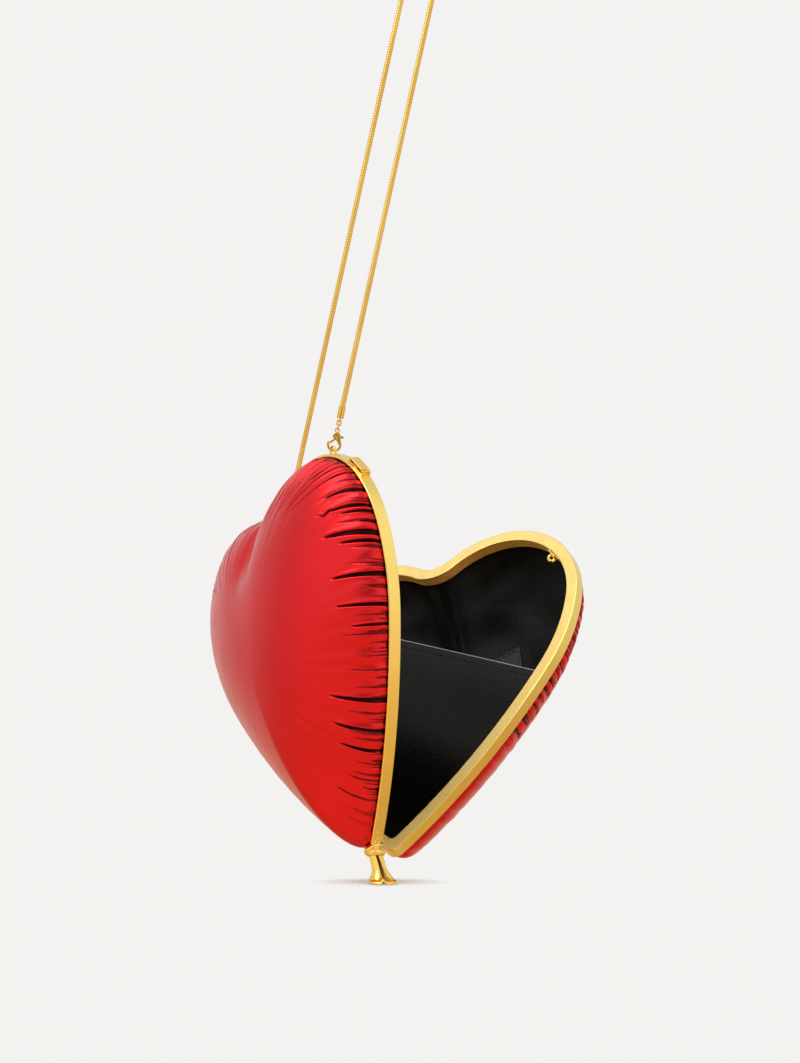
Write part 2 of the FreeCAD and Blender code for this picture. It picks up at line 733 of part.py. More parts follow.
# Strap loops, claws, rings, links and end caps, alike on the lobe and in the cleft

UPRIGHT = Rotation(AXIS_X, 90.0)
SIDEWAYS = Rotation(AXIS_Y, 90.0)
pivot_x = size("head_shift")
pivot_z = size("head_height")


def strap_loop(word):
    wire = "sizes.loop_wire"
    crown = torus(word + "_loop_crown", (0, 0, size("loop_leg")), UPRIGHT, "sizes.loop_radius", wire)
    crown.Angle3 = 180.0
    pieces = [crown]
    for side in (-1, 1):
        leg_foot = (side * size("loop_radius"), 0, -size("loop_wire"))
        leg = cylinder(f"{word}_loop_leg", leg_foot, AXIS_Z, wire, "sizes.loop_leg + sizes.loop_wire")
        pieces.append(leg)
    local = loop_frames[word]
    block = heart_block(word + "_loop_rim", -size("seat"), local.inverse())
    return cut(word + "_loop_cut", fuse(word + "_loop_solid", pieces), [block])


def across_cylinder(name, x, z, radius, thickness, half):
    """A round piece lying across the flat of the claw."""
    return cylinder(name, (x, half, z), Vector(0, -1, 0), radius, thickness)


def claw_body(word):
    half = size("claw_thickness") / 2
    thick = "sizes.claw_thickness"
    middle = size("bow_hole")
    bow = across_cylinder(word + "_bow", 0, middle, "sizes.bow_radius", thick, half)
    bow.setExpression("Angle", "sizes.bow_sweep")
    bow.Placement.Rotation = bow.Placement.Rotation.multiply(Rotation(AXIS_Z, size("bow_start")))
    hole = across_cylinder(word + "_bow_hole", 0, middle, "sizes.bow_hole", thick, half)
    outer = size("bow_radius")
    head = size("head_radius")
    arm = plate(word + "_arm", [(outer, middle), (pivot_x + head, pivot_z), (pivot_x, pivot_z - head),
                                (size("bow_hole"), middle)], thick)
    pieces = [
        cut(word + "_bow_ring", bow, [hole]),
        arm,
        across_cylinder(word + "_head", pivot_x, pivot_z, "sizes.head_radius", thick, half),
        across_cylinder(word + "_eye", 0, size("eye_height"), "sizes.eye_radius", "sizes.eye_thickness",
                        size("eye_thickness") / 2),
    ]
    gate_room = across_cylinder(word + "_gate_room", pivot_x, pivot_z,
                                "sizes.trigger_reach + 2 * sizes.trigger_gap", thick, half)
    gate_room.setExpression("Angle", "sizes.trigger_swing + sizes.gate_margin")
    gate_turn = Rotation(AXIS_Z, size("trigger_bearing"))
    gate_room.Placement.Rotation = gate_room.Placement.Rotation.multiply(gate_turn)
    slot_half = size("trigger_thickness") / 2 + size("trigger_gap")
    slot = box(word + "_head_slot", (pivot_x - 2 * head, -slot_half, pivot_z - size("slot_drop")),
               ("4 * sizes.head_radius", "sizes.trigger_thickness + 2 * sizes.trigger_gap",
                "sizes.slot_drop + sizes.slot_rise"))
    eye_hole = across_cylinder(word + "_eye_hole", 0, size("eye_height"), "sizes.eye_hole", thick, half)
    pin_hole = across_cylinder(word + "_pin_hole", pivot_x, pivot_z, "sizes.trigger_pin", thick, half)
    return cut(word + "_claw_cut", fuse(word + "_claw_solid", pieces), [gate_room, slot, eye_hole, pin_hole])


def trigger(word):
    """The gate arm, its hub and the thumb tab, cut from one plate."""
    turn = math.radians(size("trigger_bearing"))
    along = Vector(math.cos(turn), math.sin(turn), 0)
    inward = Vector(-along.y, along.x, 0)
    pivot = Vector(pivot_x, pivot_z, 0)
    gap = size("trigger_gap")
    reach = size("trigger_reach")
    width = size("trigger_width")
    tab = pivot_x + size("trigger_tab")
    half_tab = width / 2
    gate = [pivot + inward * gap, pivot + along * reach + inward * gap,
            pivot + along * reach + inward * (gap + width), pivot + inward * (gap + width)]
    thick = "sizes.trigger_thickness"
    hub = across_cylinder(word + "_trigger_hub", pivot_x, pivot_z, "sizes.trigger_width", thick,
                          size("trigger_thickness") / 2)
    thumb = plate(word + "_thumb", [(pivot_x, pivot_z - half_tab), (tab, pivot_z - half_tab - gap),
                                    (tab, pivot_z + half_tab + gap), (pivot_x, pivot_z + half_tab)], thick)
    gate_plate = plate(word + "_gate", [(point.x, point.y) for point in gate], thick)
    running = "sizes.trigger_pin + sizes.pin_clearance"
    bore = across_cylinder(word + "_trigger_bore", pivot_x, pivot_z, running, thick,
                           size("trigger_thickness") / 2)
    return cut(word + "_trigger_cut", fuse(word + "_trigger_solid", [hub, thumb, gate_plate]), [bore])


def small_link(word):
    """An oval link: two half rings and two straight sides."""
    half = size("link_width")
    low = link_foot + half
    high = link_top - half
    pieces = []
    for name, z, turn in (("foot", low, 180.0), ("top", high, 0.0)):
        ring = torus(f"{word}_link_{name}", (0, 0, z), Rotation(AXIS_Y, turn).multiply(UPRIGHT),
                     "sizes.link_width", "sizes.ring_wire")
        ring.Angle3 = 180.0
        pieces.append(ring)
    for side in (-1, 1):
        pieces.append(cylinder(f"{word}_link_side", (side * half, 0, low), AXIS_Z, "sizes.ring_wire",
                               "sizes.link_length - 2 * sizes.link_width"))
    return fuse(word + "_link_solid", pieces)


def end_cap(word):
    eye = torus(word + "_cap_eye", (0, 0, cap_eye_z), SIDEWAYS, "sizes.cap_eye", "sizes.cap_eye_wire")
    barrel = cylinder(word + "_cap_barrel", (0, 0, cap_foot), AXIS_Z, "sizes.cap_radius", "sizes.cap_length")
    return fuse(word + "_cap_solid", [eye, barrel])


for word in ("lobe", "cleft"):
    strap_place = Placement(claw_point(word) - strap_top, strand_turn)
    keep(strap_loop(word), word + "_loop", front_place.multiply(loop_frames[word]))
    keep(claw_body(word), word + "_claw", strap_place)
    keep(trigger(word), word + "_trigger", strap_place)
    pin = across_cylinder(word + "_pin", pivot_x, pivot_z, "sizes.trigger_pin", "sizes.claw_thickness",
                          size("claw_thickness") / 2)
    keep(pin, word + "_trigger_pin", strap_place.multiply(pin.Placement))
    ring = torus(word + "_ring", (0, 0, ring_z), SIDEWAYS, "sizes.ring_radius", "sizes.ring_wire")
    keep(ring, word + "_jump_ring", strap_place.multiply(ring.Placement))
    keep(small_link(word), word + "_link", strap_place)
    keep(end_cap(word), word + "_end_cap", strap_place)


# Snake chain: two straight strands and one bend over whatever holds the purse up

chain_start = lobe_cap_top - strap_top
chain_end = cleft_cap_top - strap_top
bend_start = lobe_bend - strap_top
bend_end = cleft_bend - strap_top
chain_path = Part.Wire([
    Part.LineSegment(chain_start, bend_start).toShape(),
    Part.Arc(bend_start, Vector(0, 0, 0), bend_end).toShape(),
    Part.LineSegment(bend_end, chain_end).toShape(),
])
chain_section = Part.Wire([Part.Circle(chain_start, strand, size("chain_radius")).toShape()])
chain_tube = chain_path.makePipeShell([chain_section], True, False)
keep(shaped("strap_chain_tube", chain_tube), "strap_chain", Placement())
chain_volume = chain_path.Length * math.pi * size("chain_radius") ** 2
print(f"chain length {chain_path.Length:.1f} mm, bend radius {bend_radius:.1f} mm, "
      f"volume {chain_tube.Volume:.1f} of {chain_volume:.1f}")


# Balloon knot: two crossing wraps round a stem, and a fluted, flared and split tail with a rolled lip

TAIL_FLUTES = 6
knot_frame = Placement(Vector(0, -rim_middle, 0), Rotation())
tail_top = -size("knot_drop")
tail_low = -size("tail_length")
stem = size("knot_stem")
foot_radius = size("tail_radius")
lip = size("tail_lip")
tail_body = doc.addObject("PartDesign::Body", "tail_body")
tail_sketch = tail_body.newObject("Sketcher::SketchObject", "tail_profile")
attach(tail_sketch, tail_body, "XZ_Plane")
neck_z = tail_top - size("neck_length")
flare_mid = Vector(stem + size("flare_swell"), tail_top - size("flare_drop"), 0)
flare_end = Vector(foot_radius - lip, tail_low + 2 * lip, 0)
lip_mid = Vector(foot_radius, tail_low + lip, 0)
lip_end = Vector(foot_radius - lip, tail_low, 0)
hollow_mid = Vector(stem + size("hollow_swell"), tail_low + size("hollow_rise"), 0)
hollow_top = Vector(0, tail_low + size("hollow_depth"), 0)
flare_top = Vector(stem, neck_z, 0)
flare_circle = Part.Circle(flare_top, flare_mid, flare_end)
tail_edges = [
    Part.LineSegment(Vector(0, tail_top, 0), Vector(stem, tail_top, 0)),
    Part.LineSegment(Vector(stem, tail_top, 0), flare_top),
    Part.Arc(flare_top, flare_mid, flare_end),
    Part.Arc(flare_end, lip_mid, lip_end),
    Part.Arc(lip_end, hollow_mid, hollow_top),
    Part.LineSegment(hollow_top, Vector(0, tail_top, 0)),
]
for edge in tail_edges:
    tail_sketch.addGeometry(edge, False)
tail_turn = tail_body.newObject("PartDesign::Revolution", "tail_revolution")
tail_turn.Profile = tail_sketch
tail_turn.ReferenceAxis = (tail_sketch, ["V_Axis"])
tail_turn.Angle = 360.0
flutes = []
for number in range(TAIL_FLUTES):
    turn = Rotation(AXIS_Z, size("split_turn") + 360 * (number + 0.5) / TAIL_FLUTES)
    centre = turn.multVec(Vector(flare_circle.Center.x, 0, flare_circle.Center.y))
    flutes.append(torus("tail_flute", centre, turn.multiply(Rotation(AXIS_X, 90)),
                        f"{flare_circle.Radius} + sizes.flute_depth - sizes.flute_radius",
                        "sizes.flute_radius"))
fluted_tail = cut("fluted_tail", tail_body, flutes)
wraps = []
for side in (-1, 1):
    wraps.append(torus("knot_wrap", (0, 0, -size("knot_drop")), Rotation(AXIS_Y, side * size("knot_tilt")),
                       "sizes.knot_wrap", "sizes.knot_wire"))
neck = cylinder("knot_neck", (0, 0, -size("knot_drop")), AXIS_Z, "sizes.knot_stem",
                "sizes.knot_drop + sizes.tip_radius / 2")
split_half = size("tail_split") / 2
split = plate("tail_split", [(-split_half, tail_low - lip), (split_half, tail_low - lip),
                             (0, tail_low + size("split_rise"))], "4 * sizes.tail_radius")
split.Placement = Placement(Vector(), Rotation(AXIS_Z, size("split_turn")))
knot = cut("knot_cut", fuse("knot_solid", [fluted_tail, neck] + wraps),
           [heart_block("knot_rim", -size("seat"), knot_frame.inverse()), split])
keep(knot, "balloon_knot", front_place.multiply(knot_frame))


# Slip pocket: a flat leather panel across the lower part of the back half, open along its top edge

pocket_body = doc.addObject("PartDesign::Body", "pocket_body")
pocket_edge = (size("pocket_inset"), "sizes.pocket_inset")
pocket_sketch = heart_sketch(pocket_body, "pocket_outline", [pocket_edge], -size("pocket_depth"), False)
pocket_pad = pocket_body.newObject("PartDesign::Pad", "pocket_pad")
pocket_pad.Profile = pocket_sketch
pocket_pad.Reversed = True
pocket_pad.setExpression("Length", "sizes.pocket_thickness")
above = box("pocket_above", (0, 0, 0),
            ("4 * sizes.half_width", "2 * sizes.pocket_thickness", "2 * sizes.lobe_height"))
pocket_line = Vector(0, size("pocket_depth") - size("pocket_thickness") / 2, size("pocket_height"))
above.Placement = Placement(pocket_line, Rotation(AXIS_Y, size("pocket_slope"))).multiply(
    Placement(Vector(-2 * size("half_width"), 0, 0), Rotation()))
keep(cut("pocket_cut", pocket_body, [above]), "slip_pocket", back_place)

# Leather patch: a small bare rectangle lying on the lining above the pocket
patch_inset = inside_inset + size("lining_gap")
patch_depth = inside_depth - size("lining_gap")
patch_layer = dome(patch_inset, patch_depth, BACK).cut(
    dome(patch_inset + size("patch_thickness"), patch_depth - size("patch_thickness"), BACK))
patch = doc.addObject("Part::Common", "patch_trimmed")
patch.Base = shaped("patch_layer", patch_layer)
patch.Tool = box("patch_outline", (0, 0, 0),
                 ("sizes.patch_width", "2 * sizes.dome_depth", "sizes.patch_height"))
patch.Tool.Placement = Placement(Vector(size("patch_x"), rim_y, size("patch_z")),
                                 Rotation(AXIS_Y, -size("patch_turn"))).multiply(
    Placement(Vector(-size("patch_width") / 2, 0, -size("patch_height") / 2), Rotation()))
keep(patch, "leather_patch", back_place)


# Build, check and write every piece

doc.recompute()
for item in doc.Objects:
    if "Invalid" in item.State or "Error" in item.State:
        raise RuntimeError(f"{item.Name} failed: {item.State}")
os.makedirs("parts", exist_ok=True)
for label, item in nodes.items():
    if item.Shape.isNull() or not item.Shape.isValid():
        raise RuntimeError(f"{label} has no valid shape")
    item.Shape.exportStep(f"parts/{label}.step")
    print(f"{label}: {len(item.Shape.Solids)} solid, {item.Shape.Volume:.2f} mm3")
hinge_row = front_place.multVec(hinge_middle)
hinge_axis = hang_turn.multVec(hinge_along)
print("hinge at", hinge_row, "along", hinge_axis)
print("clasp presses along", hang_turn.multVec(clasp_out * -1), "from", front_place.multVec(clasp_foot))
for word in ("lobe", "cleft"):
    pivot = claw_point(word) - strap_top + strand_turn.multVec(Vector(pivot_x, 0, pivot_z))
    print(word, "trigger at", pivot, "along", strand_turn.multVec(AXIS_Y))
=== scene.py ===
import json
import math

import bpy
import numpy as np
from mathutils import Matrix, Vector


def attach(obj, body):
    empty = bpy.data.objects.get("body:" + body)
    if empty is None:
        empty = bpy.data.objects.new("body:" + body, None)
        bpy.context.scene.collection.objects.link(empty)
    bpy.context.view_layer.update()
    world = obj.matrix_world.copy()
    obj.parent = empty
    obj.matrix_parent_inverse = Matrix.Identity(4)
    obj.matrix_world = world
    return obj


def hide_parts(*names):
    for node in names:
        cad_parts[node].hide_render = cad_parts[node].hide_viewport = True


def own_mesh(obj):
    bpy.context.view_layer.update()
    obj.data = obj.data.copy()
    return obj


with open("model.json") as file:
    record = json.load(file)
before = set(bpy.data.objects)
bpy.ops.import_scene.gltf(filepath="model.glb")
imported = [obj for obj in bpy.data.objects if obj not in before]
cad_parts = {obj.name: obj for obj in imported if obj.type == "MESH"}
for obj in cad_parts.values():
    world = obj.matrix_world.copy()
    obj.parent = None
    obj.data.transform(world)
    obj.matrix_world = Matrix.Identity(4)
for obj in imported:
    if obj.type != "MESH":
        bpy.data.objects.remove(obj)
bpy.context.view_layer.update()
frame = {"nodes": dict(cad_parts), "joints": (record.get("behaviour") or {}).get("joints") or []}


# Two channel frames: heart-shaped rings cast in brass, ground flat where they meet, and gold plated with a
# brushed mating face, a satin inner wall and a polished rim. Their edges are eased by hand.

HALF_WIDTH = 0.088
LOBE_RADIUS = 0.051
LOBE_HEIGHT = 0.1316
SHOULDER_RADIUS = 0.087
SIDE_RADIUS = 0.317
TIP_RADIUS = 0.006
CLEFT_RADIUS = 0.015
LEAST_CORNER = 0.0036
FRAME_FACE = 0.0062
FRAME_DEPTH = 0.006
FRAME_WALL = 0.0015
FRAME_LIP = 0.0012
FRAME_FLANGE = 0.002
HALF_GAP = 0.0001
RIM_Y = HALF_GAP + FRAME_DEPTH
RIM_MIDDLE = HALF_GAP + FRAME_DEPTH / 2
EDGE_EASE = 0.0005
EDGE_STEPS = 5
FRAME_COLUMNS = 900
HINGE_FROM_TIP = 0.0463
HINGE_OFFSET = 0.00285
HANG_ROLL = math.radians(24.16)
HANG_LEAN = math.radians(3.72)
FRONT = -1
BACK = 1
BODY_OF = {FRONT: "front_half", BACK: "back_half"}
WORD_OF = {FRONT: "front", BACK: "back"}
HINGE_SIDE_ARC = 7
FLAT_FACE_WEIGHT = 90


def heart_arcs(inset):
    """Centre, radius and both end angles of the arcs, from the middle of the tip round by the right lobe."""
    lobe_x = HALF_WIDTH - LOBE_RADIUS
    shoulder_x = HALF_WIDTH - SHOULDER_RADIUS
    reach_tip = SIDE_RADIUS - TIP_RADIUS
    reach_shoulder = SIDE_RADIUS - SHOULDER_RADIUS
    apart = Vector((shoulder_x, LOBE_HEIGHT - TIP_RADIUS))
    span = apart.length
    along = (reach_tip ** 2 - reach_shoulder ** 2 + span ** 2) / (2 * span)
    off = math.sqrt(reach_tip ** 2 - along ** 2)
    run = apart / span
    side_x = run.x * along - run.y * off
    side_z = TIP_RADIUS + run.y * along + run.x * off
    corner = max(TIP_RADIUS - inset, LEAST_CORNER)
    tip_z = side_z - math.sqrt((SIDE_RADIUS - inset - corner) ** 2 - side_x ** 2)
    cleft_z = LOBE_HEIGHT + math.sqrt((LOBE_RADIUS + CLEFT_RADIUS) ** 2 - lobe_x ** 2)
    at_tip = math.atan2(tip_z - side_z, -side_x)
    at_shoulder = math.atan2(LOBE_HEIGHT - side_z, shoulder_x - side_x)
    at_cleft = math.atan2(cleft_z - LOBE_HEIGHT, -lobe_x)
    half = math.pi
    side, shoulder, lobe = SIDE_RADIUS - inset, SHOULDER_RADIUS - inset, LOBE_RADIUS - inset
    return [
        (0.0, tip_z, corner, -half / 2, at_tip),
        (side_x, side_z, side, at_tip, at_shoulder),
        (shoulder_x, LOBE_HEIGHT, shoulder, at_shoulder, 0.0),
        (lobe_x, LOBE_HEIGHT, lobe, 0.0, at_cleft),
        (0.0, cleft_z, CLEFT_RADIUS + inset, at_cleft - half, -at_cleft),
        (-lobe_x, LOBE_HEIGHT, lobe, half - at_cleft, half),
        (-shoulder_x, LOBE_HEIGHT, shoulder, half, half - at_shoulder),
        (-side_x, side_z, side, half - at_shoulder, half - at_tip),
        (0.0, tip_z, corner, -half - at_tip, -half / 2),
    ]


arc_lengths = [abs(end - start) * radius for _, _, radius, start, end in heart_arcs(0.0)]
arc_ends = np.concatenate([[0.0], np.cumsum(arc_lengths)])
ROUND_HEART = float(arc_ends[-1])


def heart_outline(inset, places):
    """X and Z of the outline drawn in by inset, at places measured round the full heart from its tip."""
    places = np.mod(places, ROUND_HEART)
    outline = np.zeros((len(places), 2))
    for number, (x, z, radius, start, end) in enumerate(heart_arcs(inset)):
        inside = (places >= arc_ends[number]) & (places <= arc_ends[number + 1])
        share = (places[inside] - arc_ends[number]) / arc_lengths[number]
        turn = start + (end - start) * share
        outline[inside] = np.stack([x + radius * np.cos(turn), z + radius * np.sin(turn)], axis=1)
    return outline


hinge = next(joint for joint in frame["joints"] if joint["name"] == "back_half_hinge")
side_x, side_z, side_radius, _, side_end = heart_arcs(0.0)[HINGE_SIDE_ARC]
hinge_turn = side_end - HINGE_FROM_TIP / side_radius
hinge_out = Vector((math.cos(hinge_turn), 0.0, math.sin(hinge_turn)))
hinge_along = Vector((math.sin(hinge_turn), 0.0, -math.cos(hinge_turn)))
hinge_middle = Vector((side_x, 0.0, side_z)) + hinge_out * (side_radius + HINGE_OFFSET)
hang = Matrix.Rotation(HANG_LEAN, 4, "X") @ Matrix.Rotation(-HANG_ROLL, 4, "Y")
tip = Vector(hinge["pos_m"]) - hang.to_3x3() @ hinge_middle
open_turn = Matrix.Rotation(-math.radians(hinge["range_deg"][0]), 4, hinge_along)
swing = Matrix.Translation(hinge_middle) @ open_turn @ Matrix.Translation(-hinge_middle)
front_place = Matrix.Translation(tip) @ hang
PLACE_OF = {FRONT: front_place, BACK: front_place @ swing}


def hung(points, side):
    """Points of the heart's own frame, moved to where that half hangs."""
    place = np.array(PLACE_OF[side])
    return np.asarray(points) @ place[:3, :3].T + place[:3, 3]


def grid_mesh(name, points, round_columns=True, round_rows=False, flip=False):
    """A smooth mesh over rows and columns of points."""
    rows, columns = points.shape[:2]
    number = np.arange(rows * columns).reshape(rows, columns)
    if round_columns:
        number = np.concatenate([number, number[:, :1]], axis=1)
    if round_rows:
        number = np.concatenate([number, number[:1]], axis=0)
    quads = [number[:-1, :-1], number[:-1, 1:], number[1:, 1:], number[1:, :-1]]
    if flip:
        quads.reverse()
    faces = np.stack(quads, axis=-1).reshape(-1, 4)
    mesh = bpy.data.meshes.new(name)
    mesh.from_pydata(points.reshape(-1, 3).tolist(), [], faces.tolist())
    mesh.shade_smooth()
    return mesh


def fitted(name, mesh, material, body, slot, *nodes):
    """A finished piece, riding on its half of the purse in place of the given solids."""
    piece = bpy.data.objects.new(name, mesh)
    bpy.context.scene.collection.objects.link(piece)
    mesh.materials.append(material)
    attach(piece, body)
    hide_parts(*nodes)
    return piece


def painted(name):
    """A new material with its node tree and its shader."""
    material = bpy.data.materials.new(name)
    material.use_nodes = True
    tree = material.node_tree
    return material, tree, tree.nodes["Principled BSDF"]


def node_of(tree, kind, **settings):
    """A new shader node of the given kind, with its settings."""
    node = tree.nodes.new("ShaderNode" + kind)
    for key, value in settings.items():
        setattr(node, key, value)
    return node


GRAIN_DETAIL = 3.0


def grain(tree, scale):
    """Noise in the piece's own coordinates, with so many grains to the metre."""
    where = node_of(tree, "TexCoord")
    noise = node_of(tree, "TexNoise")
    noise.inputs["Scale"].default_value = scale
    noise.inputs["Detail"].default_value = GRAIN_DETAIL
    tree.links.new(where.outputs["Object"], noise.inputs["Vector"])
    return noise.outputs["Fac"]


def ranged(tree, source, low, high, start=0.3, end=0.7):
    """The source, spread from low to high."""
    spread = node_of(tree, "MapRange")
    for socket, value in (("From Min", start), ("From Max", end), ("To Min", low), ("To Max", high)):
        spread.inputs[socket].default_value = value
    tree.links.new(source, spread.inputs["Value"])
    return spread.outputs["Result"]


def two_tone(tree, source, one, two, start=0.3, end=0.7):
    """A colour between two tones, following the source."""
    ramp = node_of(tree, "ValToRGB")
    ramp.color_ramp.elements[0].position = start
    ramp.color_ramp.elements[0].color = (*one, 1.0)
    ramp.color_ramp.elements[1].position = end
    ramp.color_ramp.elements[1].color = (*two, 1.0)
    tree.links.new(source, ramp.inputs["Fac"])
    return ramp.outputs["Color"]


def relief(tree, source, height, shader):
    """Fine relief of the given height in metres."""
    bump = node_of(tree, "Bump")
    bump.inputs["Distance"].default_value = height
    tree.links.new(source, bump.inputs["Height"])
    tree.links.new(bump.outputs["Normal"], shader.inputs["Normal"])


# Sockets of a mix node for the two colours that go in and the one that comes out
MIX_FROM = 6
MIX_INTO = 7
MIX_COLOUR = 2


def mixed(tree, amount, tone, colour):
    """The tone, turning into the given colour as the amount rises."""
    mix = node_of(tree, "Mix", data_type="RGBA")
    tree.links.new(amount, mix.inputs["Factor"])
    tree.links.new(tone, mix.inputs[MIX_FROM])
    mix.inputs[MIX_INTO].default_value = (*colour, 1.0)
    return mix.outputs[MIX_COLOUR]


def darkened(tree, tone, attribute, colour):
    """The tone, turning into the given colour where the mesh's attribute says so."""
    depth = node_of(tree, "Attribute", attribute_name=attribute)
    return mixed(tree, depth.outputs["Fac"], tone, colour)


TONE_GRAIN = 45.0
POLISH_GRAIN = 160.0
MARK_GRAIN = 900.0


def gold(name, light, deep, smooth, dull, mark_height, painted_recess_shade=None):
    """Plated brass: two close tones, uneven polish, faint marks from handling and any painted shade in its
    recesses.
    """
    material, tree, shader = painted(name)
    shader.inputs["Metallic"].default_value = 1.0
    tone = two_tone(tree, grain(tree, TONE_GRAIN), light, deep)
    if painted_recess_shade:
        tone = darkened(tree, tone, "painted_recess_shade", painted_recess_shade)
    tree.links.new(tone, shader.inputs["Base Color"])
    tree.links.new(ranged(tree, grain(tree, POLISH_GRAIN), smooth, dull), shader.inputs["Roughness"])
    relief(tree, grain(tree, MARK_GRAIN), mark_height, shader)
    return material


polished_gold = gold("polished_gold", light=(0.98, 0.74, 0.22), deep=(0.95, 0.69, 0.18),
                     smooth=0.16, dull=0.24, mark_height=0.000006)


def eased(corners):
    """The corners of a frame's section, each rounded by a small arc where it is convex or hollow."""
    section = []
    count = len(corners)
    for number, corner in enumerate(corners):
        here = np.array(corner)
        before = np.array(corners[number - 1]) - here
        after = np.array(corners[(number + 1) % count]) - here
        before /= np.linalg.norm(before)
        after /= np.linalg.norm(after)
        for step in range(EDGE_STEPS + 1):
            turn = step / EDGE_STEPS * math.pi / 2
            section.append(here + EDGE_EASE * (before * (1 - math.sin(turn)) + after * (1 - math.cos(turn))))
    return section


FRAME_SECTION = eased([
    (0.0, HALF_GAP),
    (FRAME_FACE, HALF_GAP),
    (FRAME_FACE, RIM_Y),
    (FRAME_FACE - FRAME_LIP, RIM_Y),
    (FRAME_FACE - FRAME_LIP, HALF_GAP + FRAME_FLANGE),
    (FRAME_WALL, HALF_GAP + FRAME_FLANGE),
    (FRAME_WALL, RIM_Y),
    (0.0, RIM_Y),
])
FACE_ROW = EDGE_STEPS
LIP_ROW = FACE_ROW + EDGE_STEPS + 1
# Painted light: the mating face has a real brushed, rough finish, but its paler gold stands in for the light
# it catches
brushed_gold_painted_light = gold("brushed_gold_painted_light", light=(1.0, 0.845, 0.40), deep=(0.99, 0.815, 0.36),
                    smooth=0.78, dull=0.88, mark_height=0.00001)
satin_gold = gold("satin_gold", light=(0.98, 0.66, 0.20), deep=(0.92, 0.58, 0.15),
                  smooth=0.85, dull=0.95, mark_height=0.00001)
frame_places = np.arange(FRAME_COLUMNS) * ROUND_HEART / FRAME_COLUMNS
for side in (FRONT, BACK):
    ring = []
    for inset, depth in FRAME_SECTION:
        outline = heart_outline(inset, frame_places)
        ring.append(np.stack([outline[:, 0], np.full(FRAME_COLUMNS, side * depth), outline[:, 1]], axis=1))
    name = WORD_OF[side] + "_frame"
    mesh = grid_mesh(name + "_ring", hung(np.array(ring), side), round_rows=True, flip=side == BACK)
    piece = fitted(name + "_ring", mesh, polished_gold, BODY_OF[side], "gold_frame", name)
    piece.modifiers.new("flat faces stay flat", "WEIGHTED_NORMAL").weight = FLAT_FACE_WEIGHT
    for number, (finish, row) in enumerate(((brushed_gold_painted_light, FACE_ROW), (satin_gold, LIP_ROW)), 1):
        mesh.materials.append(finish)
        for face in range(row * FRAME_COLUMNS, (row + 1) * FRAME_COLUMNS):
            mesh.polygons[face].material_index = number


# Two shells of red metallic foil over a hard dome, puffed up like a balloon and gathered into the
# channel of the frame. The spare foil lies in long folds, fine puckers and soft gathers at the rim.

SHELL_INSET = 0.00165
DOME_DEPTH = 0.038
DOME_FULLNESS = 2.2
DOME_EDGE = 1.6
DOME_CENTRE = 0.097
LIP_DEPTH = 0.002
FOIL_THICKNESS = 0.00025
FOIL_COLUMNS = 1500
CROWN_WELD = 0.000002
GATHERED_ROWS = 76
GATHERED_REACH = 0.034
SMOOTH_ROWS = 26
VALLEY_DEPTH = 0.0028
VALLEY_WIDTH = 0.011
VALLEY_REACH = 0.014
VALLEY_STARTS = (0.130, 0.160)
FILL_FADES = (0.128, 0.152)
PROFILE_STEPS = 2000
PROFILE_PLACE = ROUND_HEART / 5
NO_LENGTH = 1e-12


def dome_turns(inset, depth):
    """Turns from the rim to the crown, close together where the foil is gathered."""
    turns = np.linspace(0.0, math.pi / 2, PROFILE_STEPS)
    side_point = heart_outline(inset, np.array([PROFILE_PLACE]))[0] - (0.0, DOME_CENTRE)
    across = np.linalg.norm(side_point) * np.cos(turns) ** (2 / DOME_FULLNESS)
    rise = depth * np.sin(turns) ** (2 / DOME_EDGE)
    run = np.concatenate([[0.0], np.cumsum(np.hypot(np.diff(across), np.diff(rise)))])
    near = np.linspace(0.0, GATHERED_REACH, GATHERED_ROWS)
    far = np.linspace(GATHERED_REACH, run[-1], SMOOTH_ROWS)[1:]
    return np.interp(np.concatenate([near, far]), run, turns)


def eased_step(value, start, end):
    """From nought at the start to one at the end, eased at both."""
    share = np.clip((value - start) / (end - start), 0.0, 1.0)
    return share * share * (3 - 2 * share)


def dome_grid(inset, depth, places, filled=0.0):
    """A dome in the heart's frame, its depth counted outwards, with the valley below the cleft drawn in and
    the crease below that filled out. Returns the points, their outward normals and their distance from the
    rim over the dome."""
    turns = dome_turns(inset, depth)
    scale = np.cos(turns)[:, None] ** (2 / DOME_FULLNESS)
    rise = depth * np.sin(turns)[:, None] ** (2 / DOME_EDGE)
    outline = heart_outline(inset, places)
    x = outline[:, 0] * scale
    z = DOME_CENTRE + (outline[:, 1] - DOME_CENTRE) * scale
    level = np.clip((z - DOME_CENTRE) / (LOBE_HEIGHT + LOBE_RADIUS - inset - DOME_CENTRE), 0.0, 1.0)
    full = depth * (1 - level ** DOME_FULLNESS) ** (1 / DOME_EDGE)
    between = (np.abs(x) < (HALF_WIDTH - LOBE_RADIUS) * scale) & (z > DOME_CENTRE)
    fill = filled * np.where(between, full - rise, 0.0) * (1 - eased_step(z, *FILL_FADES))
    points = np.stack([x, RIM_Y + rise + fill, z], axis=-1)
    steps = np.linalg.norm(np.diff(points, axis=0), axis=-1)
    reach = np.concatenate([np.zeros((1, len(places))), np.cumsum(steps, axis=0)])
    normals = dome_normals(points)
    valley = np.exp(-(x / VALLEY_WIDTH) ** 2) * eased_step(z, *VALLEY_STARTS)
    valley = valley * (1 - np.exp(-reach / VALLEY_REACH))
    points = points - normals * (VALLEY_DEPTH * valley)[..., None]
    return points, dome_normals(points), reach


def dome_normals(points):
    """Normals of a round grid of dome points, away from the hollow."""
    along = np.roll(points, -1, axis=1) - np.roll(points, 1, axis=1)
    upward = np.gradient(points, axis=0)
    normals = np.cross(upward, along)
    normals /= np.maximum(np.linalg.norm(normals, axis=-1, keepdims=True), NO_LENGTH)
    normals[-1] = (0.0, 1.0, 0.0)
    outward = points - np.array([0.0, 0.0, DOME_CENTRE])
    return normals * np.sign((normals * outward).sum(-1, keepdims=True) + NO_LENGTH)


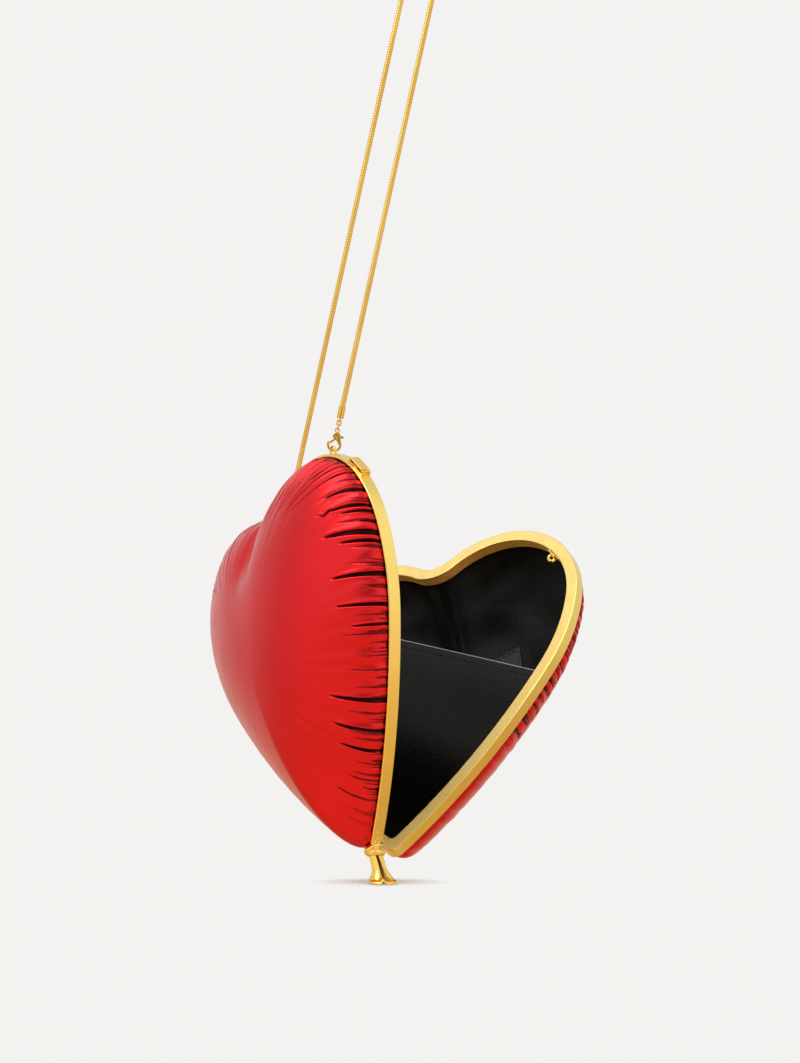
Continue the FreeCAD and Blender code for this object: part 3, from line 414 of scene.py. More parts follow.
RIPPLE_COUNTS = (0.62, 0.81, 1.0, 1.23, 1.49)
RIPPLE_SUM = 2.6
FEWEST_WAVES = 3


def uneven(places, length, seed):
    """A ripple of about the given length that is never quite the same and closes round the heart."""
    dice = np.random.default_rng(seed)
    waves = max(FEWEST_WAVES, round(ROUND_HEART / length))
    ripple = np.zeros_like(places)
    for count in RIPPLE_COUNTS:
        turns = round(waves * count)
        ripple += np.cos(2 * math.pi * turns * places / ROUND_HEART + dice.uniform(0, 2 * math.pi))
    return ripple / RIPPLE_SUM


# Long folds of the front half on its clasp side: place round the rim, length, half width and jog
CLASP_SIDE_FOLDS = (
    (0.2040, 0.0330, 0.00042, 0.0),
    (0.1992, 0.0380, 0.00050, 0.0),
    (0.1925, 0.0350, 0.00045, 0.0),
    (0.1800, 0.0190, 0.00115, 0.0),
    (0.1705, 0.0270, 0.00090, 0.0022),
    (0.1672, 0.0150, 0.00075, 0.0),
    (0.1615, 0.0080, 0.00050, 0.0),
    (0.1562, 0.0280, 0.00120, 0.0),
    (0.1520, 0.0200, 0.00080, 0.0),
    (0.1368, 0.0275, 0.00090, 0.0),
    (0.1226, 0.0260, 0.00072, 0.0),
    (0.1136, 0.0180, 0.00058, 0.0),
    (0.0775, 0.0275, 0.00095, 0.0),
    (0.0625, 0.0250, 0.00090, 0.0),
    (0.0525, 0.0210, 0.00070, 0.0),
    (0.0330, 0.0080, 0.00050, 0.0),
)
FOLD_DEPTH = 0.00115
FOLD_START = 1.05
FOLD_NARROWING = 0.6
FOLD_END = 9
CREASE_STEEPNESS = 4
SHOULDER_APART = 1.9
SHOULDER_WIDTH = 1.1
JOG_LENGTH = 0.009
JOG_SHARES = (0.6, 0.75)
SLANT_PLACES = (0.0, 0.05, 0.0775, 0.1136, 0.1226, 0.1368, 0.156, 0.18, 0.2, 0.225, 0.26)
SLANTS = (0.0, -0.03, 0.0, 0.1, 0.2, 0.25, 0.4, 0.42, 0.3, 0.1, 0.0)


def slant_at(places):
    """How far a fold drifts round the heart as it climbs the dome: it goes straight out from the frame."""
    places = np.mod(places, ROUND_HEART)
    other = places > ROUND_HEART / 2
    slant = np.interp(np.where(other, ROUND_HEART - places, places), SLANT_PLACES, SLANTS)
    return np.where(other, -slant, slant)


def fold_line(places, reach, scale, fold):
    """How deep one long fold lies at each point, and where it pushes up a shoulder beside it."""
    place, length, width, jog = fold
    share = np.clip(reach / length, 0.0, 1.0)
    sway = jog * (2 * np.abs((reach / JOG_LENGTH) % 1.0 - 0.5) - 0.5) * eased_step(share, *JOG_SHARES)
    apart = (places - place + ROUND_HEART / 2) % ROUND_HEART - ROUND_HEART / 2
    apart = apart * scale - slant_at(place) * reach - sway
    half = width * (FOLD_START - FOLD_NARROWING * share ** 2)
    taper = 1 - share ** FOLD_END
    crease = np.exp(-(apart / half) ** CREASE_STEEPNESS)
    shoulder = np.exp(-((np.abs(apart) - SHOULDER_APART * half) / (SHOULDER_WIDTH * half)) ** 2)
    return crease * taper, shoulder * taper


MIRROR_SHIFT = 0.004
MIRROR_LENGTHS = (0.6, 1.05)


def mirrored(folds, dice):
    """Folds like those of the other side, a little different, as nobody gathers foil twice the same."""
    for place, length, width, _ in folds:
        shift = dice.uniform(-MIRROR_SHIFT, MIRROR_SHIFT)
        yield (ROUND_HEART - place + shift, length * dice.uniform(*MIRROR_LENGTHS), width, 0.0)


# Gathers over the top of each lobe: first place round the rim, pitch, range of lengths and of half widths
LOBE_GATHERS = (
    (0.2095, 0.0068, (0.026, 0.052), (0.0006, 0.0011)),
    (ROUND_HEART - 0.182, -0.0095, (0.044, 0.064), (0.0008, 0.0013)),
)
GATHERS_PER_LOBE = 8
GATHER_SHIFT = 0.002


def lobe_gathers(dice):
    """Long shallow gathers that fan out over the top of both lobes, longest on the hinge side."""
    for number in range(GATHERS_PER_LOBE):
        for first, pitch, lengths, widths in LOBE_GATHERS:
            place = first + number * pitch + dice.uniform(-GATHER_SHIFT, GATHER_SHIFT)
            yield (place, dice.uniform(*lengths), dice.uniform(*widths), 0.0)


TONGUE_START = 0.084
TONGUE_END = 0.178
TONGUE_FADE = 0.004
TONGUE_PITCH = 0.0050
TONGUE_HALF = 0.47 * TONGUE_PITCH
TONGUE_LINE = 0.00038
TONGUE_ROUND = 0.0014
TONGUE_LENGTH = 0.0115
TONGUE_VARIETY = (0.78, 1.16)
TONGUE_COUNT = 40
TONGUE_LENGTHS = TONGUE_LENGTH * np.random.default_rng(29).uniform(*TONGUE_VARIETY, TONGUE_COUNT)
TONGUE_WANDER = 0.0006
WANDER_LENGTH = 0.02


def tongues(places, reach):
    """Close rounded tongues of foil along the open side of the back half, and the crease round each."""
    row = (places + TONGUE_WANDER * uneven(places[0], WANDER_LENGTH, 23)) / TONGUE_PITCH
    number = np.floor(row).astype(int)
    aside = (row - number - 0.5) * TONGUE_PITCH
    past = np.maximum(reach - TONGUE_LENGTHS[number % TONGUE_COUNT] + TONGUE_HALF, 0.0)
    inside = TONGUE_HALF - np.hypot(aside, past)
    there = eased_step(places, TONGUE_START - TONGUE_FADE, TONGUE_START)
    there = there * eased_step(-places, -TONGUE_END - TONGUE_FADE, -TONGUE_END)
    return np.exp(-(inside / TONGUE_LINE) ** 2) * there, eased_step(inside, 0.0, TONGUE_ROUND) * there


RED = (0.77, 0.018, 0.024)
DEEP_RED = (0.72, 0.015, 0.020)
# Near-black red painted into the foil as shade in its folds, puckers and gathers and along the rim
PAINTED_FOLD_SHADE_RED = (0.022, 0.0008, 0.0015)
FOIL_GLOSS = 0.15
GLOSS_DULLNESS = 0.1
FOIL_DULLNESS = (0.26, 0.32)
FOIL_MARKS = 0.000012
FOIL_TONE_GRAIN = 30.0
FOIL_POLISH_GRAIN = 90.0
FOIL_MARK_GRAIN = 700.0


def foil_material():
    """Red foil: metal under a clear gloss, with painted shade in its folds, puckers and gathers and along
    its rim.
    """
    material, tree, shader = painted("red_foil")
    shader.inputs["Metallic"].default_value = 1.0
    shader.inputs["Coat Weight"].default_value = FOIL_GLOSS
    shader.inputs["Coat Roughness"].default_value = GLOSS_DULLNESS
    foil = two_tone(tree, grain(tree, FOIL_TONE_GRAIN), RED, DEEP_RED)
    tree.links.new(darkened(tree, foil, "fold", PAINTED_FOLD_SHADE_RED), shader.inputs["Base Color"])
    dullness = ranged(tree, grain(tree, FOIL_POLISH_GRAIN), *FOIL_DULLNESS)
    tree.links.new(dullness, shader.inputs["Roughness"])
    relief(tree, grain(tree, FOIL_MARK_GRAIN), FOIL_MARKS, shader)
    return material


def marked(mesh, attribute, amounts):
    """Writes an amount for each point of the mesh, which its material reads."""
    values = mesh.attributes.new(attribute, "FLOAT", "POINT")
    values.data.foreach_set("value", np.ravel(amounts))


def crown_closed(piece):
    """Joins the innermost row of a dome into one point."""
    piece.modifiers.new("crown closes to a point", "WELD").merge_threshold = CROWN_WELD


def thickened(piece, name, thickness):
    """Gives a sheet its wall, behind the face that was drawn."""
    wall = piece.modifiers.new(name, "SOLIDIFY")
    wall.thickness = thickness
    wall.offset = -1.0


CREASE_FILL = 0.9
LEAST_SPREAD = 0.3
PUCKER_LENGTH = 0.0064
FINE_PUCKER_LENGTH = 0.0021
FINE_PUCKER_SHARE = 0.8
PINCH_STEEPNESS = 2.6
PINCH_GAIN = 1.15
PINCH_BASE = 0.15
PINCH_REACH = 0.0084
PINCH_DEPTH = 0.0005
PINCH_STARTS = (0.0002, 0.002)
CALM_TIP = (0.004, 0.030)
SMOOTH_SIDE = (0.062, 0.090)
SMOOTH_PINCH = 0.15
GATHER_LENGTH = 0.0105
GATHER_HEIGHT = 0.00042
GATHER_FADES = 0.017
PUFF_HEIGHT = 0.0011
PUFF_RISES = 0.004
PUFF_FADES = 0.022
SHOULDER_HEIGHT = 0.0003
MOST_LIFT = 0.0012
LIFT_REACH = 0.005
RIM_LIFT = 0.0001
SOFT_DEPTH = 0.0009
# Painted shade: how strongly the foil's colour is darkened in its folds, puckers and gathers and along the
# rim
FOLD_SHADE = (0.2, 0.6)
PINCH_SHADE = 0.78
SOFT_SHADE = 0.8
SOFT_SHADE_FADES = 0.03
RIM_SHADE = 0.5
RIM_SHADE_FADES = 0.0004

red_foil = foil_material()
foil_places = np.arange(FOIL_COLUMNS) * ROUND_HEART / FOIL_COLUMNS
for side in (FRONT, BACK):
    dice = np.random.default_rng(11 + side)
    points, normals, reach = dome_grid(SHELL_INSET, DOME_DEPTH, foil_places, CREASE_FILL)
    spread = np.linalg.norm(np.roll(points, -1, axis=1) - points, axis=-1)
    scale = spread / (ROUND_HEART / FOIL_COLUMNS)
    places = np.broadcast_to(foil_places, reach.shape)
    deep = np.zeros(reach.shape)
    raised = np.zeros(reach.shape)
    folds = list(mirrored(CLASP_SIDE_FOLDS, dice))
    if side == FRONT:
        folds += CLASP_SIDE_FOLDS
    else:
        deep, raised = tongues(places, reach)
    for fold in folds:
        crease, shoulder = fold_line(places, reach, scale, fold)
        deep = np.maximum(deep, crease)
        raised = np.maximum(raised, shoulder)
    soft = np.zeros(reach.shape)
    for fold in lobe_gathers(dice):
        crease, _ = fold_line(places, reach, scale, fold)
        soft = np.maximum(soft, crease * (1 - np.clip(reach / fold[1], 0.0, 1.0)))
    leaned = places - slant_at(places) * reach / np.maximum(scale, LEAST_SPREAD)
    puckers = uneven(leaned, PUCKER_LENGTH, 3 + side)
    puckers = puckers + FINE_PUCKER_SHARE * uneven(leaned, FINE_PUCKER_LENGTH, 5 + side)
    pinch = PINCH_STEEPNESS * (PINCH_GAIN * puckers + PINCH_BASE - reach / PINCH_REACH)
    off_tip = eased_step(np.minimum(places, ROUND_HEART - places), *CALM_TIP)
    pinch = np.clip(pinch, 0.0, 1.0) * off_tip
    if side == BACK:
        pinch = pinch * (SMOOTH_PINCH + (1 - SMOOTH_PINCH) * eased_step(places, *SMOOTH_SIDE))
    gathers = uneven(foil_places, GATHER_LENGTH, 7 + side)
    puff = PUFF_HEIGHT * (1 - np.exp(-reach / PUFF_RISES)) * np.exp(-reach / PUFF_FADES)
    lift = puff + GATHER_HEIGHT * gathers * np.exp(-reach / GATHER_FADES) + SHOULDER_HEIGHT * raised
    lift = np.minimum(lift, MOST_LIFT * eased_step(reach, 0.0, LIFT_REACH) + RIM_LIFT)
    lift = lift - FOLD_DEPTH * deep - SOFT_DEPTH * soft
    lift = lift - PINCH_DEPTH * pinch * eased_step(reach, *PINCH_STARTS)
    lift = np.maximum(lift, -FOLD_DEPTH)
    gathered = points + normals * lift[..., None]
    lip = gathered[:1] - np.array([0.0, LIP_DEPTH, 0.0])
    foil = np.concatenate([lip, gathered])
    foil[..., 1] *= side
    # Painted shade: the 'fold' amount darkens the foil's colour in folds, tongue creases, puckers, soft
    # gathers and a thin line by the rim
    dark = np.maximum(eased_step(deep, *FOLD_SHADE), PINCH_SHADE * pinch)
    dark = dark + SOFT_SHADE * soft * np.exp(-reach / SOFT_SHADE_FADES)
    dark = np.clip(dark + RIM_SHADE * np.exp(-reach / RIM_SHADE_FADES) * off_tip, 0.0, 1.0)
    name = WORD_OF[side] + "_shell"
    mesh = grid_mesh(name + "_foil", hung(foil, side), flip=side == BACK)
    marked(mesh, "fold", np.concatenate([dark[:1], dark]))
    piece = fitted(name + "_foil", mesh, red_foil, BODY_OF[side], "red_shell", name)
    crown_closed(piece)
    thickened(piece, "foil wall", FOIL_THICKNESS)


# Two linings of thin black leather, pressed into the domes and tucked behind the lip of the frame.
# Each is made of two panels, so a seam with a turned edge on both sides runs down the middle.

LINING_INSET = 0.00315
LINING_DEPTH = 0.0365
LINING_THICKNESS = 0.001
LINING_COLUMNS = 480
SEAM_WIDTH = 0.0005
SEAM_DEPTH = 0.0003
WELT_APART = 0.0021
WELT_WIDTH = 0.6 * WELT_APART
WELT_HEIGHT = 0.0004
WRINKLE_LENGTH = 0.021
WRINKLE_HEIGHT = 0.0007
WRINKLE_FADES = 0.02
WRINKLE_STARTS = (0.004, 0.012)
SLACK_HEIGHT = 0.0022
SLACK_STARTS = (0.01, 0.03)
SLACK_ACROSS = 120
SLACK_UP = 45
SLACK_SWAY = 5
PATCH_X = 0.021
PATCH_Z = 0.1225
PATCH_CALM = (0.020, 0.036)
BLACK = (0.0013, 0.0012, 0.0011)
SOFT_BLACK = (0.0024, 0.0022, 0.0020)
LEATHER_TONE_GRAIN = 60.0
LEATHER_POLISH_GRAIN = 500.0
DULLNESS_SPREAD = 0.12
PORES = 1300.0
PORE_EDGE = 0.35


def leather(name, dark, light, dull=0.5, shine=0.23, pore_depth=0.00006):
    """Fine-grained leather: a close net of pores, with softly varied colour and shine."""
    material, tree, shader = painted(name)
    shader.inputs["Specular IOR Level"].default_value = shine
    tone = two_tone(tree, grain(tree, LEATHER_TONE_GRAIN), dark, light)
    tree.links.new(tone, shader.inputs["Base Color"])
    dullness = ranged(tree, grain(tree, LEATHER_POLISH_GRAIN), dull - DULLNESS_SPREAD, dull)
    tree.links.new(dullness, shader.inputs["Roughness"])
    where = node_of(tree, "TexCoord")
    pores = node_of(tree, "TexVoronoi", feature="DISTANCE_TO_EDGE")
    pores.inputs["Scale"].default_value = PORES
    tree.links.new(where.outputs["Object"], pores.inputs["Vector"])
    relief(tree, ranged(tree, pores.outputs["Distance"], 0.0, 1.0, 0.0, PORE_EDGE), pore_depth, shader)
    return material


black_leather = leather("black_leather", BLACK, SOFT_BLACK)
lining_places = np.arange(LINING_COLUMNS) * ROUND_HEART / LINING_COLUMNS
for side in (FRONT, BACK):
    points, normals, reach = dome_grid(LINING_INSET, LINING_DEPTH, lining_places)
    wrinkles = uneven(lining_places, WRINKLE_LENGTH, 17 + side) * np.exp(-reach / WRINKLE_FADES)
    sway = SLACK_SWAY * np.sin(points[..., 2] * SLACK_UP + side)
    slack = 0.5 + 0.5 * np.sin(points[..., 0] * SLACK_ACROSS + sway)
    aside = np.abs(points[..., 0])
    seam = np.exp(-(aside / SEAM_WIDTH) ** 2) + np.exp(-((aside - 2 * WELT_APART) / SEAM_WIDTH) ** 2)
    welt = np.exp(-((aside - WELT_APART) / WELT_WIDTH) ** 2)
    if side == BACK:
        from_patch = np.hypot(points[..., 0] - PATCH_X, points[..., 2] - PATCH_Z)
        slack = slack * eased_step(from_patch, *PATCH_CALM)
    inward = WRINKLE_HEIGHT * (0.5 + 0.5 * wrinkles) * eased_step(reach, *WRINKLE_STARTS)
    inward = inward + SLACK_HEIGHT * slack * eased_step(reach, *SLACK_STARTS)
    inward = inward + WELT_HEIGHT * welt - SEAM_DEPTH * seam
    points = points - normals * np.maximum(inward, 0.0)[..., None]
    tuck = points[:1] - np.array([0.0, LIP_DEPTH, 0.0])
    sheet = np.concatenate([tuck, points])
    sheet[..., 1] *= side
    name = WORD_OF[side] + "_lining"
    mesh = grid_mesh(name + "_leather", hung(sheet, side), flip=side == BACK)
    piece = fitted(name + "_leather", mesh, black_leather, BODY_OF[side], "black_leather", name)
    crown_closed(piece)
    thickened(piece, "leather wall", LINING_THICKNESS)


# A slip pocket: one flat panel of black leather glued across the lower part of the back half. Its slanting
# top edge is cut clean, painted grey and held by a row of stitches in black thread.

POCKET_DEPTH = 0.008
POCKET_THICKNESS = 0.0011
POCKET_INSET = 0.0053
POCKET_HEIGHT = 0.1256
POCKET_SLOPE = math.tan(math.radians(26.6))
POCKET_COLUMNS = 160
POCKET_ROWS = 60
POCKET_BOW = 0.0007
POCKET_SIDE_GAP = 0.0003
POCKET_LEAST_HEIGHT = 0.0002
CREASE_HEIGHT = 0.0013
CREASE_ACROSS = 50
CREASE_UP = 75
POCKET_BLACK = (0.0014, 0.0013, 0.0012)
POCKET_SOFT_BLACK = (0.0026, 0.0024, 0.0022)
OUTLINE_STEPS = 4000

edge_places = np.linspace(0.0, ROUND_HEART, OUTLINE_STEPS)
edge_line = heart_outline(POCKET_INSET, edge_places)
low_half = edge_line[:, 1] < LOBE_HEIGHT
lower = edge_line[low_half][np.argsort(edge_line[low_half][:, 0])]
left_top = edge_line[~low_half & (edge_line[:, 0] < LOBE_RADIUS - HALF_WIDTH)]
left_top = left_top[np.argsort(left_top[:, 0])]


def pocket_line(x):
    """The height of the slanting edge."""
    return POCKET_HEIGHT - POCKET_SLOPE * x


def pocket_top(x):
    """The top of the panel: the slanting edge, and the frame where that lies lower."""
    lobe = np.interp(x, left_top[:, 0], left_top[:, 1])
    return np.where(x < left_top[-1, 0], np.minimum(pocket_line(x), lobe), pocket_line(x))


pocket_reach = lower[lower[:, 1] < pocket_line(lower[:, 0])]
left_end = pocket_reach[0, 0] + POCKET_SIDE_GAP
right_end = pocket_reach[-1, 0] - POCKET_SIDE_GAP
panel_x = np.linspace(left_end, right_end, POCKET_COLUMNS)
panel_low = np.interp(panel_x, lower[:, 0], lower[:, 1])
panel_high = np.maximum(pocket_top(panel_x), panel_low + POCKET_LEAST_HEIGHT)
rise = np.linspace(0.0, 1.0, POCKET_ROWS)[:, None]
panel_z = panel_low + (panel_high - panel_low) * rise
across = np.linspace(-1.0, 1.0, POCKET_COLUMNS)
bow = POCKET_BOW * (1 - across ** 2) * rise ** 2
creases = CREASE_HEIGHT * np.sin(panel_x * CREASE_ACROSS + panel_z * CREASE_UP)
creases = creases * (1 - across ** 2) * (1 - rise ** 2)
panel_y = POCKET_DEPTH - bow + creases
panel = np.stack([panel_x + 0 * panel_z, panel_y, panel_z], axis=-1)
mesh = grid_mesh("slip_pocket_panel", hung(panel, BACK), round_columns=False)
pocket_leather = leather("pocket_leather", POCKET_BLACK, POCKET_SOFT_BLACK,
                         dull=0.36, shine=0.16, pore_depth=0.00003)
pocket = fitted("slip_pocket_panel", mesh, pocket_leather, "back_half", "black_leather", "slip_pocket")
thickened(pocket, "leather wall", POCKET_THICKNESS)

# Any direction that no bead runs along
ASKEW = (0.31, 0.52, 0.79)


def tube_mesh(name, line, radius, sides):
    """A round bead along a line of points."""
    line = np.asarray(line, float)
    along = np.gradient(line, axis=0)
    along /= np.linalg.norm(along, axis=1, keepdims=True)
    across = np.cross(along, ASKEW)
    across /= np.linalg.norm(across, axis=1, keepdims=True)
    other = np.cross(along, across)
    turns = np.arange(sides) * 2 * math.pi / sides
    radius = np.broadcast_to(radius, len(line))[:, None, None]
    ring = across[:, None] * np.cos(turns)[None, :, None] + other[:, None] * np.sin(turns)[None, :, None]
    return grid_mesh(name, line[:, None] + radius * ring, flip=True)


def joined(name, meshes):
    """Several meshes as one."""
    points, faces = [], []
    for mesh in meshes:
        first = len(points)
        points += [vertex.co[:] for vertex in mesh.vertices]
        faces += [[first + corner for corner in face.vertices] for face in mesh.polygons]
        bpy.data.meshes.remove(mesh)
    whole = bpy.data.meshes.new(name)
    whole.from_pydata(points, [], faces)
    whole.shade_smooth()
    return whole


STITCH_LENGTH = 0.0021
STITCH_GAP = 0.0011
STITCH_RADIUS = 0.00024
STITCH_END = 0.05
STITCH_POINTS = 9
STITCH_SIDES = 8


def stitch_row(name, line):
    """Stitches along a line of points: short beads of thread that dip into the leather at both ends."""
    line = np.asarray(line, float)
    steps = np.linalg.norm(np.diff(line, axis=0), axis=1)
    run = np.concatenate([[0.0], np.cumsum(steps)])
    beads = []
    swell = np.sin(np.linspace(0.0, math.pi, STITCH_POINTS)) ** 0.5
    for start in np.arange(STITCH_GAP, run[-1] - STITCH_LENGTH, STITCH_LENGTH + STITCH_GAP):
        at = np.linspace(start, start + STITCH_LENGTH, STITCH_POINTS)
        bead = np.stack([np.interp(at, run, line[:, axis]) for axis in range(3)], axis=1)
        beads.append(tube_mesh("bead", bead, STITCH_RADIUS * np.maximum(swell, STITCH_END), STITCH_SIDES))
    return joined(name, beads)


THREAD_BLACK = (0.004, 0.004, 0.004)
THREAD_SHEEN = (0.012, 0.012, 0.012)
EDGE_GREY = (0.40, 0.40, 0.41)
LIGHT_EDGE_GREY = (0.48, 0.48, 0.49)
EDGE_SIDES = 10
EDGE_END = 0.02
EDGE_END_POINTS = 2
STITCH_DROP = 0.0032
SAME_HEIGHT = 1e-6
black_thread = leather("black_thread", THREAD_BLACK, THREAD_SHEEN)
painted_edge = leather("painted_edge", EDGE_GREY, LIGHT_EDGE_GREY, dull=0.45)
edge_x = panel_x[panel_high >= pocket_line(panel_x) - SAME_HEIGHT][1:-1]
edge_bow = np.interp(edge_x, panel_x, bow[-1])
edge = np.stack([edge_x, POCKET_DEPTH + POCKET_THICKNESS / 2 - edge_bow, pocket_line(edge_x)], axis=1)
from_end = np.minimum(np.arange(len(edge)), np.arange(len(edge))[::-1])
edge_radius = POCKET_THICKNESS / 2 * np.clip(from_end / EDGE_END_POINTS, EDGE_END, 1.0)
edge_mesh = tube_mesh("slip_pocket_edge", hung(edge, BACK), edge_radius, EDGE_SIDES)
pocket_edge = fitted("slip_pocket_edge", edge_mesh, painted_edge, "back_half", "black_leather")
slope_length = math.hypot(1.0, POCKET_SLOPE)
drop = np.array([-POCKET_SLOPE / slope_length, 0.0, -1 / slope_length]) * STITCH_DROP
seam_line = edge + drop - np.array([0.0, POCKET_THICKNESS / 2 + STITCH_RADIUS / 2, 0.0])
seam_mesh = stitch_row("slip_pocket_stitches", hung(seam_line, BACK))
pocket_stitches = fitted("slip_pocket_stitches", seam_mesh, black_thread, "back_half", "black_leather")


# A leather patch: a bare rectangle of dark grey leather with a raised, rounded edge, sewn all round with
# black thread on the lining just above the pocket.

PATCH_WIDTH = 0.034
PATCH_HEIGHT = 0.020
PATCH_TURN = math.radians(10.0)
PATCH_THICKNESS = 0.001
PATCH_WALL = 0.0004
PATCH_INSET = 0.00445
PATCH_DEPTH = 0.0352
PATCH_EDGE = 0.0009
PATCH_SEAM = 0.0017
FURROW_WIDTH = 0.0005
FURROW_DEPTH = 0.00022
PATCH_COLUMNS = 70
PATCH_ROWS = 42
SEAM_POINTS = 60
PATCH_GREY = (0.034, 0.034, 0.0345)
LIGHT_PATCH_GREY = (0.044, 0.044, 0.045)

crown_line = heart_outline(PATCH_INSET, edge_places) - (0.0, DOME_CENTRE)
crown_turn = np.arctan2(crown_line[:, 0], -crown_line[:, 1])
crown_order = np.argsort(crown_turn)


def on_dome(x, z, depth):
    """How far out the dome lies over a point of the mating plane."""
    turn = np.arctan2(x, DOME_CENTRE - z)
    full = np.interp(turn, crown_turn[crown_order], np.linalg.norm(crown_line, axis=1)[crown_order])
    scale = np.clip(np.hypot(x, z - DOME_CENTRE) / full, 0.0, 1.0)
    slant = np.sqrt(1 - scale ** DOME_FULLNESS)
    return RIM_Y + depth * slant ** (2 / DOME_EDGE)


def patch_points(along, upward, lift):
    """Points of the patch from its own middle, lifted off the lining."""
    x = PATCH_X + along * math.cos(PATCH_TURN) - upward * math.sin(PATCH_TURN)
    z = PATCH_Z + along * math.sin(PATCH_TURN) + upward * math.cos(PATCH_TURN)
    return np.stack([x, on_dome(x, z, PATCH_DEPTH) - lift, z], axis=-1)


patch_along, patch_up = np.meshgrid(np.linspace(-0.5, 0.5, PATCH_COLUMNS) * PATCH_WIDTH,
                                    np.linspace(-0.5, 0.5, PATCH_ROWS) * PATCH_HEIGHT)
from_edge = np.minimum(PATCH_WIDTH / 2 - np.abs(patch_along), PATCH_HEIGHT / 2 - np.abs(patch_up))
rounding = np.sqrt(1 - (1 - np.clip(from_edge / PATCH_EDGE, 0.0, 1.0)) ** 2)
furrow = np.exp(-((from_edge - PATCH_SEAM) / FURROW_WIDTH) ** 2)
patch_lift = PATCH_THICKNESS * rounding - FURROW_DEPTH * furrow
patch_leather = leather("patch_leather", PATCH_GREY, LIGHT_PATCH_GREY)
patch_grid = hung(patch_points(patch_along, patch_up, patch_lift), BACK)
mesh = grid_mesh("leather_patch_panel", patch_grid, round_columns=False)
patch = fitted("leather_patch_panel", mesh, patch_leather, "back_half", "black_leather", "leather_patch")
thickened(patch, "leather wall", PATCH_WALL)
inner_x = PATCH_WIDTH / 2 - PATCH_SEAM
inner_z = PATCH_HEIGHT / 2 - PATCH_SEAM
corners = np.array([(-inner_x, -inner_z), (inner_x, -inner_z), (inner_x, inner_z), (-inner_x, inner_z)])
seams = []
for start, end in zip(corners, np.roll(corners, -1, axis=0)):
    share = np.linspace(0.0, 1.0, SEAM_POINTS)[:, None]
    run = start + (end - start) * share
    seams.append(stitch_row("side", hung(patch_points(run[:, 0], run[:, 1], PATCH_THICKNESS), BACK)))
seam_mesh = joined("leather_patch_stitches", seams)
patch_stitches = fitted("leather_patch_stitches", seam_mesh, black_thread, "back_half", "black_leather")


# The hinge on the lower left side: five brass barrels on one pin, soldered to both frames. Like all the
# small fittings it is cast, tumbled until its edges are round, and plated.

KNUCKLE_GRAIN = 0.00016
PIN_GRAIN = 0.00012
WORN_PASSES = 4
WORN_SHARE = 0.5
fitting_gold = gold("fitting_gold", light=(0.97, 0.71, 0.20), deep=(0.90, 0.60, 0.13),
                    smooth=0.12, dull=0.2, mark_height=0.000005)


def plated(node, material):
    """Gives a fitting its plating."""
    fitting = frame["nodes"][node]
    fitting.data.materials.clear()
    fitting.data.materials.append(material)


def tumbled(node, cast_grain, passes, material):
    """A cast fitting whose edges have been worn round, in the given plating."""
    fitting = frame["nodes"][node]
    cast = fitting.modifiers.new("cast", "REMESH")
    cast.mode = "VOXEL"
    cast.voxel_size = cast_grain
    cast.use_smooth_shade = True
    worn = fitting.modifiers.new("worn round", "SMOOTH")
    worn.factor = WORN_SHARE
    worn.iterations = passes
    plated(node, material)


for node in ("front_hinge_knuckles", "back_hinge_knuckles"):
    tumbled(node, KNUCKLE_GRAIN, WORN_PASSES, fitting_gold)
tumbled("hinge_pin", PIN_GRAIN, WORN_PASSES, fitting_gold)


# The press clasp on the right lobe: a seat soldered to the rim, a thumb bar on a bowed strip of spring
# steel, and inside the back frame a windowed catch with an oval eye. All but the strip is plated brass.

CLASP_BEARING = math.radians(35.0)
EYE_INSET = 0.0087
EYE_RADIUS = 0.0015
EYE_STRETCH = 1.5
EYE_WIRE = 0.00095
EYE_LIFT = 0.0002
EYE_COLUMNS = 64
EYE_ROWS = 28
CLASP_GRAIN = 0.00009
STEEL = (0.62, 0.61, 0.6)
DULL_STEEL = (0.5, 0.5, 0.5)
STEEL_DULLNESS = (0.2, 0.34)
STEEL_TONE_GRAIN = 300.0


def steel_material():
    """Bright spring steel, a little uneven in tone and polish."""
    material, tree, shader = painted("spring_steel")
    shader.inputs["Metallic"].default_value = 1.0
    tone = two_tone(tree, grain(tree, STEEL_TONE_GRAIN), STEEL, DULL_STEEL)
    tree.links.new(tone, shader.inputs["Base Color"])
    tree.links.new(ranged(tree, grain(tree, MARK_GRAIN), *STEEL_DULLNESS), shader.inputs["Roughness"])
    return material


spring_steel = steel_material()
for node in ("clasp_base", "clasp_bar", "clasp_catch"):
    tumbled(node, CLASP_GRAIN, WORN_PASSES, fitting_gold)
clasp_out = np.array([math.cos(CLASP_BEARING), 0.0, math.sin(CLASP_BEARING)])
clasp_along = np.array([-math.sin(CLASP_BEARING), 0.0, math.cos(CLASP_BEARING)])
lobe_middle = np.array([HALF_WIDTH - LOBE_RADIUS, EYE_LIFT, LOBE_HEIGHT])
eye_middle = lobe_middle + clasp_out * (LOBE_RADIUS - EYE_INSET)
eye_turns = np.arange(EYE_COLUMNS) * 2 * math.pi / EYE_COLUMNS
wire_turns = np.arange(EYE_ROWS) * 2 * math.pi / EYE_ROWS
wire_reach = EYE_WIRE * np.cos(wire_turns)[:, None, None]
wire_rise = EYE_WIRE * np.sin(wire_turns)[:, None, None] * np.array([0.0, 1.0, 0.0])
eye_points = (eye_middle + wire_rise
              + (EYE_RADIUS + wire_reach) * (np.cos(eye_turns)[:, None] * clasp_out)
              + (EYE_RADIUS * EYE_STRETCH + wire_reach) * (np.sin(eye_turns)[:, None] * clasp_along))
eye_mesh = grid_mesh("clasp_catch_eye", hung(eye_points, BACK), round_rows=True)
fitted("clasp_catch_eye", eye_mesh, fitting_gold, "back_half", "gold_frame")
strip = frame["nodes"]["clasp_spring"].data.copy()
strip.materials.clear()
spring = fitted("clasp_bowed_spring", strip, spring_steel, "front_half", "spring_steel", "clasp_spring")
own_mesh(spring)


# The knot under the tip: cast brass made like the tied neck of a balloon, plated and soldered to the rim,
# with two wraps that cross in front and a fluted tail that opens into a split, rolled lip.

